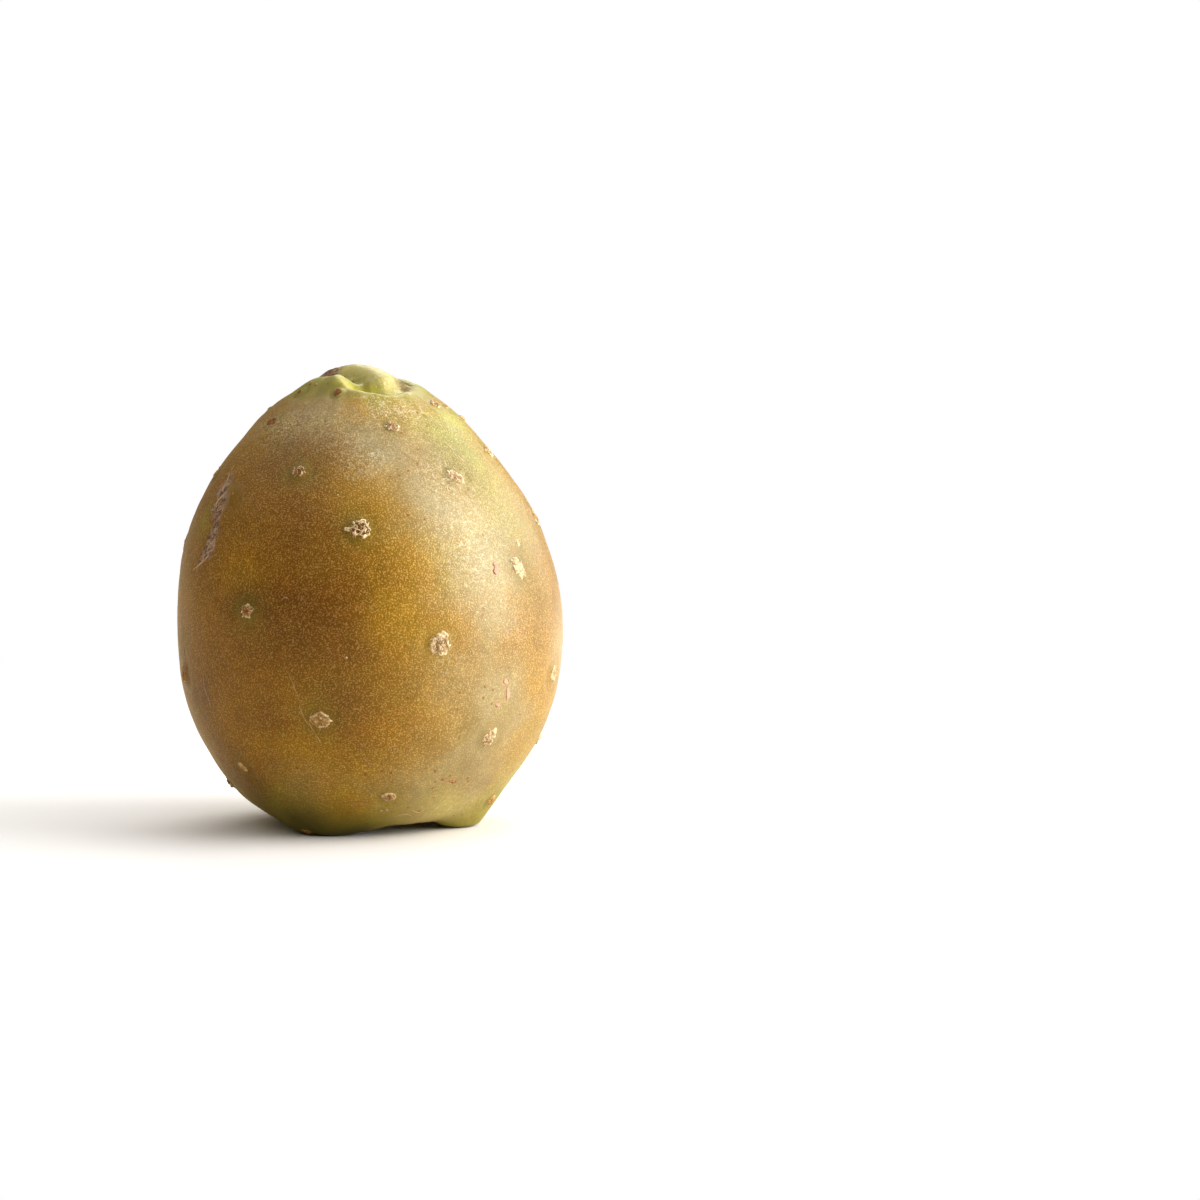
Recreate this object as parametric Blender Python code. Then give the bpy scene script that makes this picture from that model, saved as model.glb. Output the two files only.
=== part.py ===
"""Prickly pear fruit standing on its blunt stem end, as one closed solid.

An ico sphere is refined where the detail is, and each of its directions is mapped to the
fruit: a meridian that runs from the stem scar below, out over the base, up the side and
in over the rim to the flower scar on top. Lobes under the base, the folds round the flower
scar and the areoles are raised from that surface by formula.

Lengths are in millimetres until the mesh is made in metres. +Z is up and -Y is the front.
"""
import math
import random

import bmesh
import bpy
import numpy as np

OBJECT_NAME = "prickly_pear_fruit"
NODE_NAME = "fruit"
METRES = 0.001

# Driving sizes of the body, without the folds on top
WIDTH = 57.0
DEPTH = 55.0
BODY_HEIGHT = 66.0

# Meridian from the middle of the base to the middle of the top, in even steps along it:
# distance from the axis over half the width, and height over the body height
MERIDIAN = (
    (0.0, 0.042), (0.17, 0.037), (0.34, 0.026), (0.50, 0.022), (0.650, 0.060), (0.782, 0.125),
    (0.892, 0.204), (0.963, 0.290), (0.994, 0.380), (1.0, 0.468), (0.980, 0.556),
    (0.930, 0.640), (0.854, 0.722), (0.742, 0.798), (0.612, 0.868), (0.472, 0.930),
    (0.340, 0.970), (0.222, 0.986), (0.11, 0.985), (0.0, 0.984),
)

# The top leans to the left of the base
LEAN = -1.3
LEAN_FROM, LEAN_TO = 26.0, 62.0

# Gentle unevenness round the body: share of the radius, waves per turn, phase, twist per mm
SWELLS = ((0.004, 2, 0.9, 0.020), (0.004, 3, 2.2, -0.030), (0.003, 5, 0.4, 0.035))

# Low lobes of the base that the fruit rests on: x, y, drop, spread
BASE_LOBES = (
    (-6.0, -11.2, 3.2, 6.0),
    (14.0, -3.4, 3.8, 4.0),
    (-7.5, 12.6, 3.6, 5.4),
)
# What reaches below the surface is pressed flat, eased over this height either side of it
FLAT_EASE = 0.7
# Stem scar under the base: radius, width and drop of its low rim
STEM_SCAR = (5.4, 1.3, 0.7)

# Folds round the flower scar: spread, then points along the crest as x, y and lift, with x
# and y measured from the middle of the top
FOLDS = (
    (2.5, ((-7.6, -1.0, 0.2), (-5.8, -3.6, 1.3), (-2.9, -5.5, 1.9))),
    (2.9, ((-3.4, 3.6, 2.2), (-0.6, 2.2, 3.0), (2.2, -0.6, 2.7), (4.6, -4.6, 1.2))),
    (1.7, ((-1.6, -8.3, 0.5), (2.4, -8.4, 0.5), (6.0, -6.2, 0.4), (8.4, -2.0, 0.3),
           (8.6, 2.4, 0.5))),
    (2.2, ((8.6, 2.4, 0.5), (5.0, 7.0, 1.2), (-0.6, 7.8, 1.9), (-5.2, 5.4, 1.3),
           (-7.4, 1.6, 0.2))),
)
# Crease in front of the inner fold, pocket on its right, and the floor of the flower scar
HOLLOWS = (
    (1.3, ((-1.0, -6.3, 0.8), (1.6, -6.9, 1.5), (4.4, -6.6, 1.6), (6.2, -4.6, 1.2))),
    (1.7, ((5.6, 0.4, 1.5), (3.8, 3.2, 1.5), (1.0, 5.2, 1.4))),
)
FOLD_FULLNESS = 2.6

# Areoles stand on a golden-angle spiral, numbered downwards from the top
GOLDEN_TURN = 137.5
SPIRAL_TURN = -88.0
SPIRAL_HEIGHTS = ((-24, 64.6), (-16, 60.8), (-8, 54.2), (0, 45.9), (16, 15.6), (22, 7.4), (27, 3.4))
SPIRAL_JITTER = (4.0, 0.9)
# Those of the front, where each one sits a little off the spiral: number, turn, height
FRONT_AREOLES = {
    -23: (-8, 61.9), -21: (-106.5, 64.1), -18: (-21, 62.5), -16: (-147, 60.1), -13: (-69, 59.8),
    -11: (-170, 52.2), -10: (-10, 55.4), -8: (-113, 53.6), -5: (-47, 52.6), -3: (-142, 50.0),
    -2: (-7, 45.4), 0: (-89, 45.9), 2: (178, 41.8), 3: (-33.5, 39.4), 5: (-125, 33.9),
    8: (-66.5, 29.5), 10: (-161, 23.1), 11: (-15, 22.9), 13: (-102.5, 18.5), 16: (-46, 14.9),
    18: (-138, 10.4), 21: (-80, 6.7), 24: (-21, 4.8), 26: (-120, 2.8),
}
# Areoles are full size on the side and smaller near both ends: height, share of full size
AREOLE_SIZES = ((4.0, 0.6), (18.0, 1.0), (50.0, 1.0), (62.0, 0.55))
CRUST_HALF_WIDTH = 1.75
CRUST_HALF_HEIGHT = 1.30
CRUST_LIFT = 0.40
CRUST_PIT = 0.35
CUSHION_LIFT = 0.22
CUSHION_SPREAD = 3.4

# Mesh: steps of the sphere, then how far round the areoles and the top it is refined
SPHERE_STEPS = 5
AREOLE_REFINES = (3.1, 2.1)
RIM_REFINES = (11.0, 7.8)
SEED = 7


def smooth_step(low, high, value):
    """0 below low, 1 above high, and an even S between them."""
    share = np.clip((value - low) / (high - low), 0.0, 1.0)
    return share * share * (3.0 - 2.0 * share)


def bell(distance, spread):
    """Round bump of height 1 that has faded away at about twice its spread."""
    return np.exp(-(distance / spread) ** 2)


def along(points, share):
    """Catmull-Rom curve through evenly spaced points, read at shares 0 to 1 of its length."""
    points = np.asarray(points, float)
    last = len(points) - 1
    place = np.clip(share, 0.0, 1.0) * last
    left = np.minimum(place.astype(int), last - 1)
    step = (place - left)[:, None]
    before = points[np.maximum(left - 1, 0)]
    start = points[left]
    end = points[left + 1]
    after = points[np.minimum(left + 2, last)]
    linear = end - before
    square = 2.0 * before - 5.0 * start + 4.0 * end - after
    cube = 3.0 * start - before - 3.0 * end + after
    return 0.5 * (2.0 * start + (linear + (square + cube * step) * step) * step)


def crest_lift(x, y, crests):
    """Rounded ridges along their crests: the highest of them, eased where two meet."""
    total = np.zeros_like(x)
    for spread, points in crests:
        crest = along(points, np.linspace(0.0, 1.0, 8 * len(points)))
        gaps = np.hypot(x[:, None] - crest[:, 0], y[:, None] - crest[:, 1])
        lifts = crest[:, 2] * np.exp(-(gaps / spread) ** FOLD_FULLNESS)
        total += lifts.max(axis=1) ** 4
    return total ** 0.25


def top_relief(x, y):
    """Folds and hollows round the flower scar, as a height over the smooth top."""
    return crest_lift(x, y, FOLDS) - crest_lift(x, y, HOLLOWS)


def base_drop(x, y):
    """How far the rim of the stem scar and the three lobes hang below the plain base."""
    scar_radius, scar_width, scar_drop = STEM_SCAR
    drop = scar_drop * bell(np.hypot(x, y) - scar_radius, scar_width)
    for lobe_x, lobe_y, depth, spread in BASE_LOBES:
        drop += depth * bell(np.hypot(x - lobe_x, y - lobe_y), spread)
    return drop


def pressed_flat(height):
    """Height with all that is under the surface flattened onto it, by a smooth maximum."""
    eased = (height + FLAT_EASE) ** 2 / (4.0 * FLAT_EASE)
    return np.where(height > FLAT_EASE, height, np.where(height < -FLAT_EASE, 0.0, eased))


def skin_points(turn, climb):
    """Points of the skin: turn in radians from +X, climb 0 at the stem scar to 1 on top."""
    outline = along(MERIDIAN, climb)
    radius = outline[:, 0] * WIDTH / 2
    height = outline[:, 1] * BODY_HEIGHT
    side = np.sin(math.pi * climb)
    for share, waves, phase, twist in SWELLS:
        radius = radius * (1.0 + share * side * np.sin(waves * turn + phase + twist * height))
    x = radius * np.cos(turn)
    y = radius * np.sin(turn) * DEPTH / WIDTH
    on_top = climb > 0.5
    relief = np.where(on_top, top_relief(x, y), -base_drop(x, y))
    height = pressed_flat(height + relief)
    lean = LEAN * smooth_step(LEAN_FROM, LEAN_TO, height)
    return np.stack([x + lean, y, height], axis=1)


def climb_at(height):
    """Climb of the side at a height over the base, from the lowest to the rim."""
    climbs = np.linspace(0.16, 0.86, 400)
    heights = along(MERIDIAN, climbs)[:, 1] * BODY_HEIGHT
    return np.interp(height, heights, climbs)


def areole_places():
    """Turn and height of every areole: the spiral's rule, or the place seen in the front."""
    draw = random.Random(SEED)
    numbers = [number for number, _ in SPIRAL_HEIGHTS]
    heights = [height for _, height in SPIRAL_HEIGHTS]
    places = []
    for number in range(numbers[0], numbers[-1] + 1):
        turn_jitter = draw.uniform(-1.0, 1.0) * SPIRAL_JITTER[0]
        height_jitter = draw.uniform(-1.0, 1.0) * SPIRAL_JITTER[1]
        turn = SPIRAL_TURN + GOLDEN_TURN * number + turn_jitter
        height = float(np.interp(number, numbers, heights)) + height_jitter
        if number in FRONT_AREOLES:
            turn, height = FRONT_AREOLES[number]
        places.append((math.radians(turn), height))
    return places


def areole_frames():
    """Middle, sideways, uphill and outward directions of each areole, and its size share."""
    nudge = 0.004
    size_heights, sizes = zip(*AREOLE_SIZES)
    frames = []
    for turn, height in areole_places():
        climb = float(climb_at(height))
        turns = np.array([turn, turn - nudge, turn + nudge, turn, turn])
        climbs = np.array([climb, climb, climb, climb - nudge, climb + nudge])
        middle, left, right, below, above = skin_points(turns, climbs)
        sideways = (right - left) / np.linalg.norm(right - left)
        outward = np.cross(sideways, above - below)
        outward /= np.linalg.norm(outward)
        size = float(np.interp(height, size_heights, sizes))
        frames.append((middle, sideways, np.cross(outward, sideways), outward, size))
    return frames


def raise_areoles(points, frames):
    """Lift a low cushion with a pitted crust at each areole, along its outward direction."""
    raised = points.copy()
    for middle, sideways, uphill, outward, size in frames:
        gap = points - middle
        across = gap @ sideways
        up = gap @ uphill
        near = np.abs(gap @ outward) < CUSHION_SPREAD
        ring = np.hypot(across / CRUST_HALF_WIDTH, up / CRUST_HALF_HEIGHT) / size
        crust = CRUST_LIFT * (1.0 - smooth_step(0.75, 1.15, ring))
        pit = CRUST_PIT * bell(ring, 0.35)
        cushion = CUSHION_LIFT * bell(np.hypot(across, up), CUSHION_SPREAD)
        raised += np.where(near, crust - pit + cushion, 0.0)[:, None] * outward
    return raised


def directions_to_skin(directions):
    """Map unit directions to the skin: the angle from straight down is the climb."""
    turn = np.arctan2(directions[:, 1], directions[:, 0])
    climb = np.arccos(np.clip(-directions[:, 2], -1.0, 1.0)) / math.pi
    return skin_points(turn, climb)


def directions_of(mesh):
    """Unit directions of a sphere mesh's vertices."""
    spots = np.array([vert.co[:] for vert in mesh.verts])
    return spots / np.linalg.norm(spots, axis=1)[:, None]


def refine(mesh, near):
    """Split the edges whose two ends are both near, and keep the sphere round."""
    mesh.verts.ensure_lookup_table()
    mesh.verts.index_update()
    edges = [edge for edge in mesh.edges if near[edge.verts[0].index] and near[edge.verts[1].index]]
    bmesh.ops.subdivide_edges(mesh, edges=edges, cuts=1, use_grid_fill=True)
    bmesh.ops.triangulate(mesh, faces=mesh.faces[:])
    for vert in mesh.verts:
        vert.co.normalize()


def near_areoles(spots, frames, reach):
    """True for the spots within reach of an areole's middle, less for a smaller one."""
    middles = np.array([frame[0] for frame in frames])
    sizes = np.array([frame[4] for frame in frames])
    gaps = np.linalg.norm(spots[:, None, :] - middles[None, :, :], axis=2) / sizes
    return gaps.min(axis=1) < reach


def near_flower_scar(spots, reach):
    """True for the spots on top within reach of its middle."""
    gaps = np.hypot(spots[:, 0] - LEAN, spots[:, 1])
    return (gaps < reach) & (spots[:, 2] > BODY_HEIGHT / 2)


def fruit_material():
    """Waxy skin, brown-olive where it ripens."""
    material = bpy.data.materials.new("skin")
    material.use_nodes = True
    shader = material.node_tree.nodes["Principled BSDF"]
    shader.inputs["Base Color"].default_value = (0.30, 0.17, 0.045, 1.0)
    shader.inputs["Roughness"].default_value = 0.48
    shader.inputs["Metallic"].default_value = 0.0
    return material


def build_fruit(collection):
    """Refined sphere, mapped to the skin, with its areoles raised, centred over the origin."""
    frames = areole_frames()
    mesh = bmesh.new()
    bmesh.ops.create_icosphere(mesh, subdivisions=SPHERE_STEPS, radius=1.0)
    for areole_reach, rim_reach in zip(AREOLE_REFINES, RIM_REFINES):
        spots = directions_to_skin(directions_of(mesh))
        near = near_areoles(spots, frames, areole_reach) | near_flower_scar(spots, rim_reach)
        refine(mesh, near)
    spots = raise_areoles(directions_to_skin(directions_of(mesh)), frames)
    spots[:, 2] = np.maximum(spots[:, 2], 0.0)
    middle = (spots[:, :2].min(axis=0) + spots[:, :2].max(axis=0)) / 2
    spots[:, :2] -= middle
    for vert, spot in zip(mesh.verts, spots * METRES):
        vert.co = spot
    bmesh.ops.recalc_face_normals(mesh, faces=mesh.faces[:])
    data = bpy.data.meshes.new(NODE_NAME)
    mesh.to_mesh(data)
    mesh.free()
    data.shade_smooth()
    data.materials.append(fruit_material())
    fruit = bpy.data.objects.new(NODE_NAME, data)
    collection.objects.link(fruit)
    return fruit


def main():
    for item in list(bpy.data.objects):
        bpy.data.objects.remove(item, do_unlink=True)
    collection = bpy.data.collections.new(OBJECT_NAME)
    bpy.context.scene.collection.children.link(collection)
    build_fruit(collection)


main()
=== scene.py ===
"""Looks of a prickly pear fruit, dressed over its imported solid.

The skin, the crusts and wool of its areoles, its scratches and the dry tissue at both ends
are surfaces of two parameters, worked out in millimetres as whole arrays. Turn runs round
the fruit from +X, and climb runs from 0 at the stem scar to 1 in the middle of the top.
"""

import itertools
import math
import random

import bpy
import numpy as np
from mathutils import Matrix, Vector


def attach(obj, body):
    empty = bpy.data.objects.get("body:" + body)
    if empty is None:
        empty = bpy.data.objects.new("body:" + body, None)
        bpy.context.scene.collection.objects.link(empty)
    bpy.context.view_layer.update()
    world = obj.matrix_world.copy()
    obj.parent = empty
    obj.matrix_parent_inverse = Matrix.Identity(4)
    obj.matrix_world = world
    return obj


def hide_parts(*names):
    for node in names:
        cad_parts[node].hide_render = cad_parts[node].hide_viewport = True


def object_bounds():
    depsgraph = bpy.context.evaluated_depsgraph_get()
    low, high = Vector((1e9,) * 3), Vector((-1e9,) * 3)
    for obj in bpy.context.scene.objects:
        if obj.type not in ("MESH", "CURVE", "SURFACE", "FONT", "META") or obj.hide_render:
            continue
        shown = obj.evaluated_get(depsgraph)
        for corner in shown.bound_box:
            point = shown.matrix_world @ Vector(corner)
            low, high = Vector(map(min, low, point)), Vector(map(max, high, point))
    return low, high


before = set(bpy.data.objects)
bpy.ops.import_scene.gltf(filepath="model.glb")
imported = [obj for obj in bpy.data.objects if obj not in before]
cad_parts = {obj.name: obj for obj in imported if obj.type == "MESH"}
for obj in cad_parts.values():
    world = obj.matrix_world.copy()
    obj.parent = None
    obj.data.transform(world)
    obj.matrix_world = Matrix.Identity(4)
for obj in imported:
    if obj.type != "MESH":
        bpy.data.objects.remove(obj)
cad_low, cad_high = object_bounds()

MM = 0.001

# Shape of the body, as in the solid: sizes, meridian, lean and unevenness
WIDTH = 57.0
DEPTH = 55.0
BODY_HEIGHT = 66.0
MERIDIAN = (
    (0, 0.042), (0.17, 0.037), (0.34, 0.026), (0.5, 0.022), (0.65, 0.06), (0.782, 0.125),
    (0.892, 0.204), (0.963, 0.29), (0.994, 0.38), (1, 0.468), (0.98, 0.556), (0.93, 0.64),
    (0.854, 0.722), (0.742, 0.798), (0.612, 0.868), (0.472, 0.93), (0.34, 0.97), (0.222, 0.986),
    (0.11, 0.985), (0, 0.984),
)
LEAN = -1.3
LEAN_FROM, LEAN_TO = 26.0, 62.0
SWELLS = ((0.004, 2, 0.9, 0.02), (0.004, 3, 2.2, -0.03), (0.003, 5, 0.4, 0.035))
BASE_LOBES = ((-6, -11.2, 3.2, 6), (14, -3.4, 3.8, 4), (-7.5, 12.6, 3.6, 5.4))
FLAT_EASE = 0.7
STEM_SCAR = (5.4, 1.3, 0.7)
FOLDS = (
    (2.5, ((-7.6, -1, 0.2), (-5.8, -3.6, 1.3), (-2.9, -5.5, 1.9))),
    (2.9, ((-3.4, 3.6, 2.2), (-0.6, 2.2, 3), (2.2, -0.6, 2.7), (4.6, -4.6, 1.2))),
    (1.7, ((-1.6, -8.3, 0.5), (2.4, -8.4, 0.5), (6, -6.2, 0.4), (8.4, -2, 0.3), (8.6, 2.4, 0.5))),
    (2.2, ((8.6, 2.4, 0.5), (5, 7, 1.2), (-0.6, 7.8, 1.9), (-5.2, 5.4, 1.3), (-7.4, 1.6, 0.2))),
)
HOLLOWS = (
    (1.3, ((-1, -6.3, 0.8), (1.6, -6.9, 1.5), (4.4, -6.6, 1.6), (6.2, -4.6, 1.2))),
    (1.7, ((5.6, 0.4, 1.5), (3.8, 3.2, 1.5), (1, 5.2, 1.4))),
)
FOLD_FULLNESS = 2.6
# Climbs where the side begins, over the base, and ends, at the rim of the flower scar
BASE_CLIMB = 0.16
RIM_CLIMB = 0.86
# Patches of colour lower than the height stand at the climb
LOW_HEIGHT = 2.5
LOW_CLIMB = 0.15

# Areoles, as in the solid: a golden-angle spiral, and the places seen in the front
GOLDEN_TURN = 137.5
SPIRAL_TURN = -88.0
SPIRAL_HEIGHTS = ((-24, 64.6), (-16, 60.8), (-8, 54.2), (0, 45.9), (16, 15.6), (22, 7.4), (27, 3.4))
SPIRAL_JITTER = (4, 0.9)
FRONT_AREOLES = {
    -23: (-8, 61.9), -21: (-106.5, 64.1), -18: (-21, 62.5), -16: (-147, 60.1), -13: (-69, 59.8),
    -11: (-170, 52.2), -10: (-10, 55.4), -8: (-113, 53.6), -5: (-47, 52.6), -3: (-142, 50),
    -2: (-7, 45.4), 0: (-89, 45.9), 2: (178, 41.8), 3: (-33.5, 39.4), 5: (-125, 33.9),
    8: (-66.5, 29.5), 10: (-161, 23.1), 11: (-15, 22.9), 13: (-102.5, 18.5), 16: (-46, 14.9),
    18: (-138, 10.4), 21: (-80, 6.7), 24: (-21, 4.8), 26: (-120, 2.8),
}
AREOLE_SIZES = ((4, 0.6), (18, 1), (50, 1), (62, 0.55))
AREOLE_AGES = ((2, 0.7), (10, 0.6), (20, 0.3), (52, 0.3), (60, 0.6), (64, 0.95))
CUSHION_LIFT = 0.22
CUSHION_SPREAD = 3.4
SEED = 7

# Crusts of the front areoles: number, then half width, half height, tilt, spikiness, age
# from cream 0 to dark brown 1, wool, openness from packed 0 to walls round pockets 1,
# roughness, how red-brown the core is, and how green the skin round it is
CRUSTS = {
    0: (1.7, 1.3, 0, 0.42, 0.1, 2, 1, 1, 0.3, 0.9),
    8: (1.8, 1.6, 30, 0.34, 0.1, 1.2, 0.18, 0.9, 0.2, 0.5),
    5: (1, 1.1, 10, 0.24, 0.34, 0.9, 0.4, 0.9, 0.8, 1),
    13: (1.6, 1.25, -8, 0.12, 0.38, 1.2, 0.45, 0.7, 0, 0.9),
    16: (1.6, 1.05, 46, 0.22, 0.02, 0.7, 0.25, 0.8, 0.2, 0.15),
    -8: (1, 0.85, 0, 0.2, 0.36, 0.6, 0.8, 1, 0.6, 1),
    -5: (1.45, 1, -32, 0.28, 0, 0.7, 0.4, 0.8, 0.4, 0.4),
    -13: (1.15, 0.85, -18, 0.3, 0, 0.8, 0.7, 0.9, 0.6, 0.5),
    3: (1.15, 1.7, 28, 0.36, 0, 1.6, 0.1, 0.8, 0, 0.6),
    -16: (1, 0.72, 0, 0.1, 0.98, 0, 0, 0.12, 0.7, 0.3),
    -21: (0.76, 0.76, 0, 0.1, 0.92, 0, 0, 0.15, 1, 0.3),
    -18: (0.8, 0.9, 12, 0.2, 0.2, 0.3, 0.8, 0.8, 0.7, 0.2),
    -23: (0.66, 0.5, -30, 0.12, 0.45, 0, 0, 0.2, 0.9, 0.2),
    -10: (1, 1.05, 20, 0.26, 0.14, 0.5, 0.5, 0.9, 0.2, 0.2),
    -2: (0.9, 1.25, 10, 0.2, 0.42, 0.5, 0.3, 0.8, 0.3, 0.2),
    11: (1, 1.3, 6, 0.24, 0.16, 0.5, 0.5, 0.9, 0.1, 0.2),
    18: (0.6, 1.05, 40, 0.06, 0.42, 0, 0, 0.25, 0, 0.6),
    21: (1.2, 0.86, 0, 0.12, 0.26, 0.3, 0.4, 0.8, 0.3, 0.8),
    24: (0.85, 1.1, -20, 0.16, 0.46, 0.1, 0, 0.4, 0.4, 0.7),
    -11: (0.6, 0.7, 0, 0.14, 0.5, 0.1, 0.2, 0.4, 0.4, 0.5),
    10: (0.8, 1.3, 0, 0.18, 0.5, 0.3, 0.3, 0.7, 0.2, 0.4),
    26: (0.8, 0.42, -10, 0.2, 0.62, 0.2, 0.2, 0.6, 0.5, 0.5),
    -24: (0.45, 0.32, 25, 0.16, 0.72, 0, 0, 0.2, 0.8, 0.4),
    -19: (0.34, 0.3, 0, 0.14, 0.7, 0, 0, 0.2, 0.6, 0.4),
    -3: (0.3, 0.28, 0, 0.14, 0.6, 0, 0, 0.2, 0.2, 0.3),
    2: (0.28, 0.28, 0, 0.1, 0.5, 0, 0, 0.1, 0, 0.3),
}

# Colour patches of the skin: turn, height, spread in millimetres, amount
PATCHES = {
    "brown": (
        (-106, 33, 9, 0.6), (-116, 43, 8, 0.3), (-92, 44, 5, 0.2), (-91, 21.5, 6.5, 0.5),
        (-140, 31, 6.5, 0.25), (-154, 20, 9, 0.75), (-141, 7, 6.5, 0.7), (-150, 47, 9, 0.25),
        (-99, 56, 4.5, 0.5), (-110, 58.5, 3.5, 0.4), (-98, 59, 3, 0.25), (-124, 55, 5, 0.4),
        (-118, 61, 3, 0.2), (-92, 36, 5, 0.25), (-120, 28, 6, 0.4), (-94, 22, 4, 0.2),
        (-110, 48, 5, 0.2), (-14, 40, 8, 0.25), (178, 32, 12, 0.4), (52, 32, 12, 0.6),
        (105, 38, 13, 0.7), (160, 20, 10, 0.4), (70, 18, 9, 0.4),
    ),
    "gold": (
        (-80, 30, 6.5, 0.9), (-72, 36, 7, 0.8), (-66, 19, 9, 0.6), (-92, 54, 8, 0.4),
        # The gold patch at turn -91, height 62.4 paints the shade under the lip of the flower scar.
        (-112, 58, 7, 0.4), (-91, 62.4, 2.8, 0.95), (-60, 62, 2.5, 0.4), (-112, 11, 7, 0.45),
        (-78, 9, 8, 0.7), (-60, 25, 7, 0.4), (-130, 40, 5, 0.5), (-126, 17, 6, 0.4),
        (-77, 51, 6, 0.8), (-82, 41, 6, 0.8), (-44, 12, 7, 0.6), (-108, 15, 7, 0.15),
        (-112, 30, 4, 0.3), (-20, 22, 8, 0.5), (-30, 12, 6, 0.4), (-104, 5, 6, 0.5),
        (-142, 15, 5, 0.3), (-126, 38.5, 3.5, 0.6), (-33, 38, 4.5, 0.5), (-105, 25, 4.5, 0.4),
        (-80, 55, 5, 0.5), (26, 42, 9, 0.5), (75, 50, 12, 0.6), (130, 14, 10, 0.6),
        (175, 50, 9, 0.3), (45, 12, 9, 0.6),
    ),
    "green": (
        (-60, 62, 5, 0.4), (-86, 63, 3.5, 0.7), (-122, 2, 8, 1), (-100, 3, 6, 0.9),
        (-112, 7, 7, 0.7), (-32, 50, 9, 0.4), (-60, 41, 6, 0.3), (-74, 42, 5, 0.3),
        (-16, 60, 5, 0.45), (-72, 37, 5, 0.3), (-136, 5, 4.5, 0.5), (-155, 46, 3, 0.5),
        (-82, 6, 5, 0.6), (-111, 5, 4, 0.6), (-30, 44, 5, 0.3), (-36, 3, 8, 1), (-26, 11, 7, 0.6),
        (-140, 60, 6, 0.15), (-70, 3, 8, 0.9), (-42, 59, 6, 0.55), (60, 60, 9, 0.7),
        (140, 60, 9, 0.7), (100, 4, 11, 0.9), (170, 8, 9, 0.7), (15, 5, 9, 0.7), (90, 26, 9, 0.4),
    ),
    # Pale patches: paler skin and wax; those high on the right of the front, round turn -50 and
    # heights 40 to 58, also paint the key light's highlight as a whitish tint.
    "pale": (
        (-54, 47, 8, 0.75), (-62, 55, 7, 0.45), (-28, 48, 9, 0.3), (-40, 58, 6, 0.15),
        (-84, 58.8, 2.8, 0.45), (-113, 62, 2.5, 0.35), (-74, 53, 4, 0.15), (-113, 8, 4, 0.35),
        (-38, 18, 5, 0.45), (-76, 57, 5, 0.55), (-48, 13, 7, 0.6), (-52, 3, 6, 0.55),
        (-48, 40, 5.5, 0.75), (-20, 34, 9, 0.25), (-50, 10, 7, 0.6), (-60, 23, 6, 0.45),
        (-98, 60, 4, 0.2), (-122, 62, 4, 0.4), (-64, 9, 7, 0.6), (-40, 23, 5, 0.35),
        (-34, 7, 7, 0.5), (-66, 3, 5, 0.3), (55, 40, 10, 0.5), (5, 26, 9, 0.4), (120, 52, 9, 0.4),
        (-175, 38, 8, 0.2),
    ),
    # Dark patches: painted shade, green-black low on the base where the fruit meets the floor; the few
    # small ones higher on the front darken the skin there.
    "dark": (
        (-108, -1, 4.8, 0.9), (-124, 2, 3.5, 0.3), (-120, 4.2, 2.8, 0.3), (-135, 7, 3.5, 0.18),
        (-136, 3, 5, 0.2), (90, 0, 8, 0.7), (-96, -1, 5, 0.4), (-41, 56, 5, 0.22),
        (-31, 40, 6, 0.2), (-42, 43, 5, 0.08), (-86, 22, 4, 0.06),
    ),
    # Bloom and glint patches: the white wax bloom, and at turns -50 to -40, heights 31 to 48, white
    # strokes painted as glints in the key light's highlight.
    "bloom": (
        (-146, 59, 4, 0.6), (-128, 60, 4.5, 0.7), (-106, 60, 3.5, 0.3), (-74, 62.3, 3.4, 1),
        (-50, 62, 3.5, 0.7), (-82, 55, 2.4, 0.9), (-58, 52.5, 3, 0.8), (-46, 55, 3, 0.6),
        (-30, 59, 3.5, 0.5), (-48, 41, 6, 0.8), (-40, 31, 4, 0.4), (-50, 48, 6, 0.5),
        (-66, 57, 3, 0.4), (60, 61, 5, 0.8), (150, 61, 5, 0.8), (100, 58, 4, 0.5), (20, 57, 4, 0.5),
        (-18, 40, 4, 0.3), (-56, 4, 4, 0.5), (-84, 5, 3, 0.3), (-62, 27, 3, 0.5), (-86, 58, 3, 0.5),
        (-40, 4, 4, 0.5),
    ),
    # Light patches: the fold colour laid low on the base, mostly on the right of the front.
    "light": (
        (-56, 3, 5, 0.5), (-44, 3, 4, 0.4), (-60, 8, 4, 0.15), (-112, 5, 3, 0.15), (40, 4, 5, 0.3),
    ),
    "rusty": (
        (-82, 9, 8, 0.9), (-58, 9, 7, 0.9), (-102, 12, 8, 0.7), (-44, 30, 8, 0.5),
        (-34, 54, 8, 0.5), (-80, 52, 7, 0.5), (-122, 8, 6, 0.7), (-88, 16, 6, 0.5),
        (60, 16, 12, 0.8), (130, 20, 12, 0.7), (175, 30, 12, 0.5), (20, 20, 10, 0.6),
    ),
}

# Rubbed scar on the left: path of its middle as turn and height, half width, how far from its
# middle any of it lies, steps along it, and share of the half width at some of the steps
GRAZE = ((-152, 52.8), (-149, 49.6), (-147.5, 47.2), (-146, 45.2), (-146, 42.6), (-152, 39.6))
GRAZE_HALF_WIDTH = 2.1
GRAZE_REACH = 12.0
GRAZE_STEPS = 60
GRAZE_ENDS = ((0, 0.2), (10, 0.85), (20, 0.95), (32, 0.4), (46, 0.75), (59, 0.2))

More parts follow.
